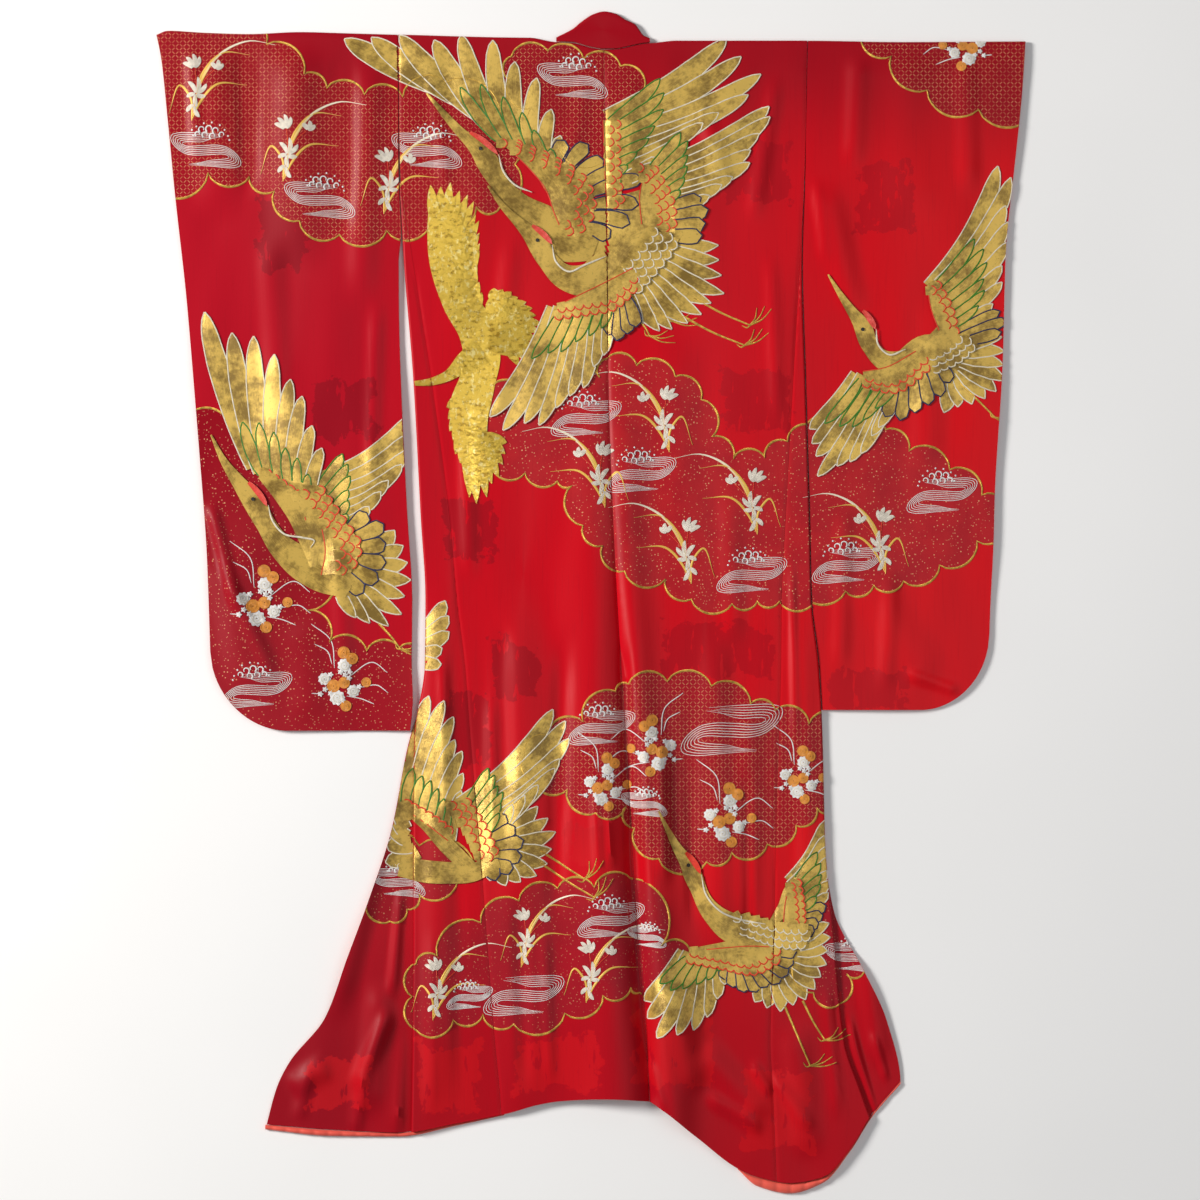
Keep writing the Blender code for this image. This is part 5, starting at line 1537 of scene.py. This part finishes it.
        Limb(mm(101,-311, 114,-338, 129,-367, 146,-393, 156,-417, 174,-455, 201,-481, 235,-497, 278,-501),
            metres(1.2, 4, 8, 13.5, 12, 16, 22, 20, 14)),
        Limb(mm(147,-524, 188,-517, 231,-512, 268,-521), metres(6, 7, 9, 10)),
        Limb(mm(271,-481, 288,-457, 298,-427, 308,-414), metres(6, 9, 8, 4)),
        Scales("vermilion", mm(298,-418, 290,-454, 288,-481), mm(312,-417, 318,-457, 319,-484), 2, 6, 0.0066),
        Scales("vermilion", mm(146,-522, 194,-517, 241,-514, 278,-516), mm(147,-537, 194,-546, 248,-554,
            285,-534), 2, 12, 0.0072),
        Scales("cream", mm(221,-482, 268,-481, 308,-484, 325,-494), mm(228,-494, 275,-512, 308,-516,
            322,-514), 3, 9, 0.0072),
        Head(mm(146,-393, 142,-374, 164,-406), mm(165,-407, 172,-437, 193,-461, 223,-474, 261,-481)),
    ]),
]


# ---- clouds' edges
def couch_cloud(cloud):
    """Couch gold cord along a cloud's scallops, a little uneven in width."""
    for place in cloud.place.split():
        outline = scallops(cloud.cusps)
        phase = np.arange(len(outline)) * 2 * np.pi / SCALLOP_STEPS
        width = CLOUD_CORD * (0.82 + 0.30 * np.sin(phase / 2) ** 2)
        cord("gold_cord", outline, width, place=place, closed=True)


# ---- chrysanthemum sprays
Round = namedtuple("Round", "x y radius")
ORANGE_DISCS = rows_of(Round,
    (10, 41, 9), (22.5, 32, 8.5), (-5.5, -9, 9.5), (10.5, -4, 8.5), (43.5, -3.5, 7), (13, -39, 8)
)
WHITE_FLOWERS = rows_of(Round,
    (11, 22, 10), (-19, 1.5, 9), (24, -16.5, 9), (0, -26.5, 11)
)
BLOSSOMS = mm(-25,-21, -18,-14, 5,12, 12,8, 18,3, 33,-10, -10,-20, 8,-30, 19,12, -10,8)
GRASSES = [
    mm(-39,84, -10,60, -4,18), mm(-34,54, -14,42, -8,24), mm(16,4, 55,26, 75,11),
    mm(36,-11, 60,-8, 76,-19), mm(14,-24, 35,-28, 55,-36), mm(-38,-20, -20,-21),
]
Spot = namedtuple("Spot", "x y flip size")


def spots(*table):
    """Return where a motif is set down: place in millimetres, side and size."""
    return [Spot(*metres(x, y), flip, size) for x, y, flip, size in table]


SPRAYS = spots(
    (197, -319, 1, 1), (15, -269, 1, 0.9), (101, -215, -1, 0.95), (308, -259, 1, 0.9), (-380, -116, 1, 1),
    (-500, 4, 1, 1.05), (566, 838, -1, 0.9)
)


def set_down(spot, places):
    """Return a motif's places turned, sized and moved to its spot."""
    places = np.asarray(places, dtype=float)
    return places * np.array([spot.flip * spot.size, spot.size]) + np.array([spot.x, spot.y])


def embroider_spray(spot):
    """Stitch one spray: thin grasses, round orange and ruffled white flowers, small blossoms."""
    lift = FILL_LIFT
    for grass in GRASSES:
        cord("white", set_down(spot, smooth_path(grass, 22)), taper(22, GRASS_THREAD, 0.5), lift)
    for x, y, radius in WHITE_FLOWERS:
        centre = set_down(spot, (x, y))
        disc("white", centre, radius * spot.size, lift + 0.0002, 0.0010, 9, 0.10)
        curl = np.linspace(0, 4.2 * np.pi, 30)[:, None]
        reach = radius * spot.size * 0.75 * curl / curl[-1]
        cord("cream", centre + reach * np.hstack([np.cos(curl), np.sin(curl)]), 0.0011, lift + 0.0010)
    for x, y, radius in ORANGE_DISCS:
        centre = set_down(spot, (x, y))
        disc("orange", centre, radius * spot.size, lift + 0.0004, 0.0008, 8, 0.03)
        around = np.linspace(0, 2 * np.pi, 20, endpoint=False)[:, None]
        ring = np.hstack([np.cos(around), np.sin(around)])
        cord("orange", centre + ring * radius * spot.size * 0.94, 0.0016, lift + 0.0006, closed=True)
        cord("orange", centre + ring * radius * spot.size * 0.42, 0.0012, lift + 0.0011, closed=True)
    for x, y in BLOSSOMS:
        disc("white", set_down(spot, (x, y)), BLOSSOM_RADIUS * spot.size, lift + 0.0008, 0.0006, 5, 0.28)


# ---- orchids
LEAVES = [
    (mm(0,12, -13.5,65, -49,111, -84,125, -123,119), 0.0042, 1),
    (mm(-3,30, -16,77, -46,107, -85,104), 0.0036, 0.35),
    (mm(0,8, -10,30, -37,59, -81,59), 0.0038, 0.25),
    (mm(1,5, 3,39, 18,58, 36,16), 0.0034, 0.2),
]
STEMS = [
    mm(0,10, -6,60, -4,84), mm(-6,50, -22,70, -33,80),
]
PETALS = [
    mm(-4,84, -10,101), mm(-3,84, 0,105), mm(-1,84, 10,100), mm(0,83, 15,91), mm(-36,82, -46,90),
    mm(-36,82, -38,96), mm(-35,82, -27,91), mm(-6,46, -21,60), mm(-6,46, -8,70), mm(-5,46, 7,63),
    mm(-5,44, -20,42), mm(-4,44, 9,40), mm(-5,43, -7,25), mm(-2,28, 9,18), mm(-3,26, -11,10),
]
ORCHIDS = spots(
    (116, 220, 1, 1), (20, 137, 1, 1), (149, 23, 1, 1), (248, 97, 1, 1), (440, 38, 1, 1),
    (-596, 716, -1, 1), (-459, 625, -1, 1), (-309, 577, -1, 1), (-235, -629, -1, 0.95),
    (-103, -550, -1, 0.9), (-6, -602, -1, 0.95)
)


def embroider_orchid(spot):
    """Stitch one orchid: arching leaves, red stems and slim white petals."""
    lift = FILL_LIFT
    for line, width, white in LEAVES:
        share = np.linspace(0, 1, 26)
        half = width / 2 * spot.size * (0.35 + 0.65 * np.sin(np.pi * np.clip(share * 1.15, 0, 1)) ** 0.6)
        places = set_down(spot, smooth_path(line, 26))
        ribbon("leaf_thread", places, half * (1 - 0.6 * share ** 3), lift, 0.0006, 3, fade=share * white)
    for stem in STEMS:
        cord("vermilion", set_down(spot, smooth_path(stem, 14)), 0.0010, lift + 0.0002)
    for root, tip in PETALS:
        ends = set_down(spot, (root, tip))
        half, bow = PETAL_HALF * spot.size, PETAL_BOW * spot.flip
        feather(*ends, half, bow, "leaf", "petal", None, lift + 0.0004, None)


# ---- streams and wave crests
STREAM_RUNS = (0.013, -0.006, -0.025)     # heights of a stream's three runs
STREAM_TURNS = (0.028, -0.024)            # where it turns back, right and left
STREAM_ENDS = (-0.026, 0.042)
STREAM_HALF = 0.0068                      # half width of the stream
STREAM_LINES = 6
STREAM_LEAN = 0.7
CURLS = rows_of(Round,
    (-27, 17, 4.6), (-18, 23, 5.4), (-8, 26, 5.8), (3, 25, 5), (-13, 15, 5.2), (-2, 17, 5), (9, 18, 4.4)
)
DROPS = mm(-36,15, -31,24, -24,31, -12,35, 0,34, 11,29, 18,24, -38,9, 16,16)
STREAMS = spots(
    (-5, 281, 1, 1), (77, 197, 1, 1), (243, 47, 1, 1), (386, 61, 1, 1), (528, 166, 1, 1),
    (-498, -125, 1, 1), (18, -182, 1, 0.95), (32, -469, 1, 0.95), (-579, 683, -1, 1), (-408, 608, -1, 1),
    (-248, 682, -1, 1), (-30, 787, -1, 1), (78, -298, -1, 0.65), (82, -497, -1, 0.55),
    (-180, -588, 1, 0.65), (-292, -415, -1, 0.8), (390, -527, -1, 0.8)
)
LONG_STREAMS = spots(
    (214, -182, 1, 1.45), (-98, -581, 1, 1.15)
)


def stream_line(offset, longer):
    """Return one line of a stream: out, back round the right turn, and out round the left."""
    top, middle, bottom = STREAM_RUNS
    line = [(STREAM_ENDS[0] - longer, top + 0.3 * offset + 0.002), (0.0, top + offset)]
    for turn, high, low, swing in ((STREAM_TURNS[0], top, middle, 1), (STREAM_TURNS[1], middle, bottom, -1)):
        radius = (high - low) / 2 + swing * offset
        for angle in np.radians(np.arange(90, -91, -30)):
            across, up = swing * radius * math.cos(angle), radius * math.sin(angle)
            line.append((turn + across, (high + low) / 2 + up))
        line.append((0.0, low - swing * offset))
    line.pop()
    line.append((0.010, bottom + 0.6 * offset - 0.001))
    line.append((STREAM_ENDS[1] - longer, bottom + 0.1 * offset - 0.002))
    return line


def embroider_flow(spot):
    for rank, offset in enumerate(np.linspace(-STREAM_HALF, STREAM_HALF, STREAM_LINES)):
        line = smooth_path(stream_line(offset, 0.004 * ((rank * 3) % 4)), 52)
        line[:, 0] += STREAM_LEAN * line[:, 1]
        cord("white", set_down(spot, line), taper(52, STREAM_THREAD), FILL_LIFT)


def embroider_stream(spot):
    """Stitch a stream's fine lines and the curling crest above it."""
    embroider_flow(spot)
    for x, y, radius in CURLS:
        turn = np.linspace(-0.9, 3.7, 12)[:, None]
        reach = radius * np.linspace(1.0, 0.55, 12)[:, None]
        hook = np.array([x, y]) + reach * np.hstack([np.cos(turn), np.sin(turn)])
        cord("white", set_down(spot, hook), np.linspace(*CURL_WIDTHS, 12), FILL_LIFT + 0.0002)
    for x, y in DROPS:
        disc("white", set_down(spot, (x, y)), DROP_RADIUS, FILL_LIFT, 0.0005)


def embroider():
    """Lay all the embroidery, from the clouds' edges up to the cranes."""
    for cloud in CLOUDS:
        couch_cloud(cloud)
    for spot in STREAMS:
        embroider_stream(spot)
    for spot in LONG_STREAMS:
        embroider_flow(spot)
    for spot in ORCHIDS:
        embroider_orchid(spot)
    for spot in SPRAYS:
        embroider_spray(spot)
    for crane in CRANES:
        embroider_crane(crane)


# ---- sewing: every point is set down on the topmost cloth below it
GOLD_THREADS = ("antique_gold", "bright_gold", "gold_cord")


class Ground:
    """The upper faces of all the shells, to be probed from above."""

    def __init__(self):
        verts, faces, self.owner = [], [], []
        for number, panel in enumerate(PANELS):
            mesh = panel.object.data
            start = len(verts)
            verts += [v.co.copy() for v in mesh.vertices]
            faces += [[start + index for index in polygon.vertices] for polygon in mesh.polygons]
            self.owner += [number] * len(mesh.polygons)
        self.tree = BVHTree.FromPolygons(verts, faces)

    def probe(self, xy):
        """Return the panel number (or -1) and the height of the cloth at each place."""
        owners, heights = np.full(len(xy), -1), np.zeros(len(xy))
        down = Vector((0, 0, -1))
        for index, (x, y) in enumerate(xy.tolist()):
            hit, _, face, _ = self.tree.ray_cast(Vector((x, y, PROBE_FROM)), down)
            if hit is not None:
                owners[index], heights[index] = self.owner[face], hit.z
        return owners, heights


def cut_small(corners, ground, allowed, rounds=2):
    """Divide triangles that cross from one panel to another, and keep what lies on one only."""
    for _ in range(rounds):
        a, b, c = corners[:, 0], corners[:, 1], corners[:, 2]
        ab, bc, ca = (a + b) / 2, (b + c) / 2, (c + a) / 2
        parts = [(a, ab, ca), (ab, b, bc), (ca, bc, c), (ab, bc, ca)]
        corners = np.concatenate([np.stack(part, axis=1) for part in parts])
    owners, heights = ground.probe(corners.reshape(-1, 6)[:, :2])
    owners = owners.reshape(-1, 3)
    whole = (owners == owners[:, :1]).all(axis=1) & allowed[owners[:, 0]] & (owners[:, 0] >= 0)
    return corners[whole], owners[whole, 0], heights.reshape(-1, 3)[whole]


def sew_all(looks):
    """Set every stitch down on the cloth and join them panel by panel."""
    ground = Ground()
    places = [panel.place for panel in PANELS]
    shown = np.array([panel.name not in ("front_left", "front_right") for panel in PANELS])
    sewn = {}
    by_kind = {}
    for stitch in STITCHES:
        by_kind.setdefault((stitch.thread, stitch.place), []).append(stitch.grid)
    for (thread, place), grids in by_kind.items():
        allowed = np.array([place in (None, other) for other in places]) & shown
        faces, start = [], 0
        for grid in grids:
            faces.append(grid_faces(grid.shape[0], grid.shape[1], start))
            start += grid.shape[0] * grid.shape[1]
        verts, faces = np.concatenate([grid.reshape(-1, 6) for grid in grids]), np.concatenate(faces)
        owners, heights = ground.probe(verts[:, :2])
        at = owners[faces]
        whole = (at == at[:, :1]).all(axis=1)
        fine = whole & (at[:, 0] >= 0) & allowed[at[:, 0]]
        mixed = ~whole & (at >= 0).any(axis=1)
        halves = np.concatenate([faces[mixed][:, [0, 1, 2]], faces[mixed][:, [0, 2, 3]]])
        small, small_owner, small_height = cut_small(verts[halves], ground, allowed)
        for number, panel in enumerate(PANELS):
            mine = faces[fine & (at[:, 0] == number)]
            used, index = np.unique(mine, return_inverse=True)
            extra = small[small_owner == number]
            if not len(mine) and not len(extra):
                continue
            own = verts[used].copy()
            own[:, 2] += heights[used]
            bits = extra.reshape(-1, 6).copy()
            bits[:, 2] += small_height[small_owner == number].reshape(-1)
            kind = "gold_work" if thread in GOLD_THREADS else "embroidery"
            entry = sewn.setdefault((panel.name, kind), [])
            entry.append((thread, np.concatenate([own, bits]), index.reshape(-1, 4),
                          len(own) + np.arange(len(bits)).reshape(-1, 3)))
    made = {}
    for (name, kind), parts in sorted(sewn.items()):
        made.setdefault(name, []).append(join_stitches(name + "_" + kind, parts, looks))
    return made


def join_stitches(name, parts, looks):
    """Make one mesh of the stitches of one kind on one panel."""
    verts, faces, materials, start = [], [], [], 0
    mesh = bpy.data.meshes.new(name)
    for number, (thread, own, quads, bits) in enumerate(parts):
        mesh.materials.append(looks[thread])
        verts.append(own)
        faces += (quads + start).tolist() + (bits + start).tolist()
        materials += [number] * (len(quads) + len(bits))
        start += len(own)
    verts = np.concatenate(verts)
    mesh.from_pydata(verts[:, :3].tolist(), [], faces)
    mesh.polygons.foreach_set("material_index", materials)
    stitch = mesh.attributes.new("stitch", "FLOAT_VECTOR", "POINT")
    stitch.data.foreach_set("vector", verts[:, 3:].astype(np.float32).ravel())
    mesh.shade_smooth()
    made = add_object(name, mesh)
    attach(made, "root")
    return made


def declare_all(sewn):
    """Go through the panels and pass over the hem rolls; nothing else is done."""
    for panel in PANELS:
        if panel.name.startswith("hem_roll"):
            continue


def area_light(name, place, size, energy, colour):
    data = bpy.data.lights.new(name, "AREA")
    data.shape = "DISK"
    data.size = size
    data.energy = energy
    data.color = colour
    light = add_object(name, data)
    light.location = place
    light.rotation_euler = (-Vector(place)).to_track_quat("-Z", "Y").to_euler()
    return light


def make_floor():
    mesh = bpy.data.meshes.new("floor")
    signs = ((-1, -1), (1, -1), (1, 1), (-1, 1))
    corners = [(FLOOR_HALF * x, FLOOR_HALF * y, -FLOOR_DROP) for x, y in signs]
    mesh.from_pydata(corners, [], [(0, 1, 2, 3)])
    floor = add_object("floor", mesh)
    looks = Looks("floor_paper")
    soft = looks.ramp(looks.noise(1.5, 2.0), 0.3, 0.7)
    looks.set(Base_Color=looks.blend(soft, FLOOR_TONE, FLOOR_TONE_DIM), Roughness=0.9)
    mesh.materials.append(looks.material)
    return floor


def make_studio():
    """Place the camera straight above, soft light from the upper left and a broad fill."""
    camera = add_object("camera", bpy.data.cameras.new("camera"))
    camera.data.lens = CAMERA_LENS
    camera.data.sensor_width = CAMERA_SENSOR
    camera.location = (*CAMERA_CENTRE, CAMERA_HEIGHT)
    bpy.context.scene.camera = camera
    key = area_light("key", KEY_PLACE, KEY_SIZE, KEY_ENERGY, KEY_COLOUR)
    fill = area_light("fill", FILL_PLACE, FILL_SIZE, FILL_ENERGY, FILL_COLOUR)
    make_floor()
    world = bpy.data.worlds.new("studio")
    world.use_nodes = True
    background = world.node_tree.nodes["Background"].inputs
    background["Color"].default_value = (1.0, 1.0, 1.0, 1.0)
    background["Strength"].default_value = WORLD_STRENGTH
    bpy.context.scene.world = world
    bpy.context.scene.view_settings.view_transform = "Standard"


def main():
    looks = all_looks()
    make_cloth(looks)
    embroider()
    declare_all(sew_all(looks))
    make_studio()


main()
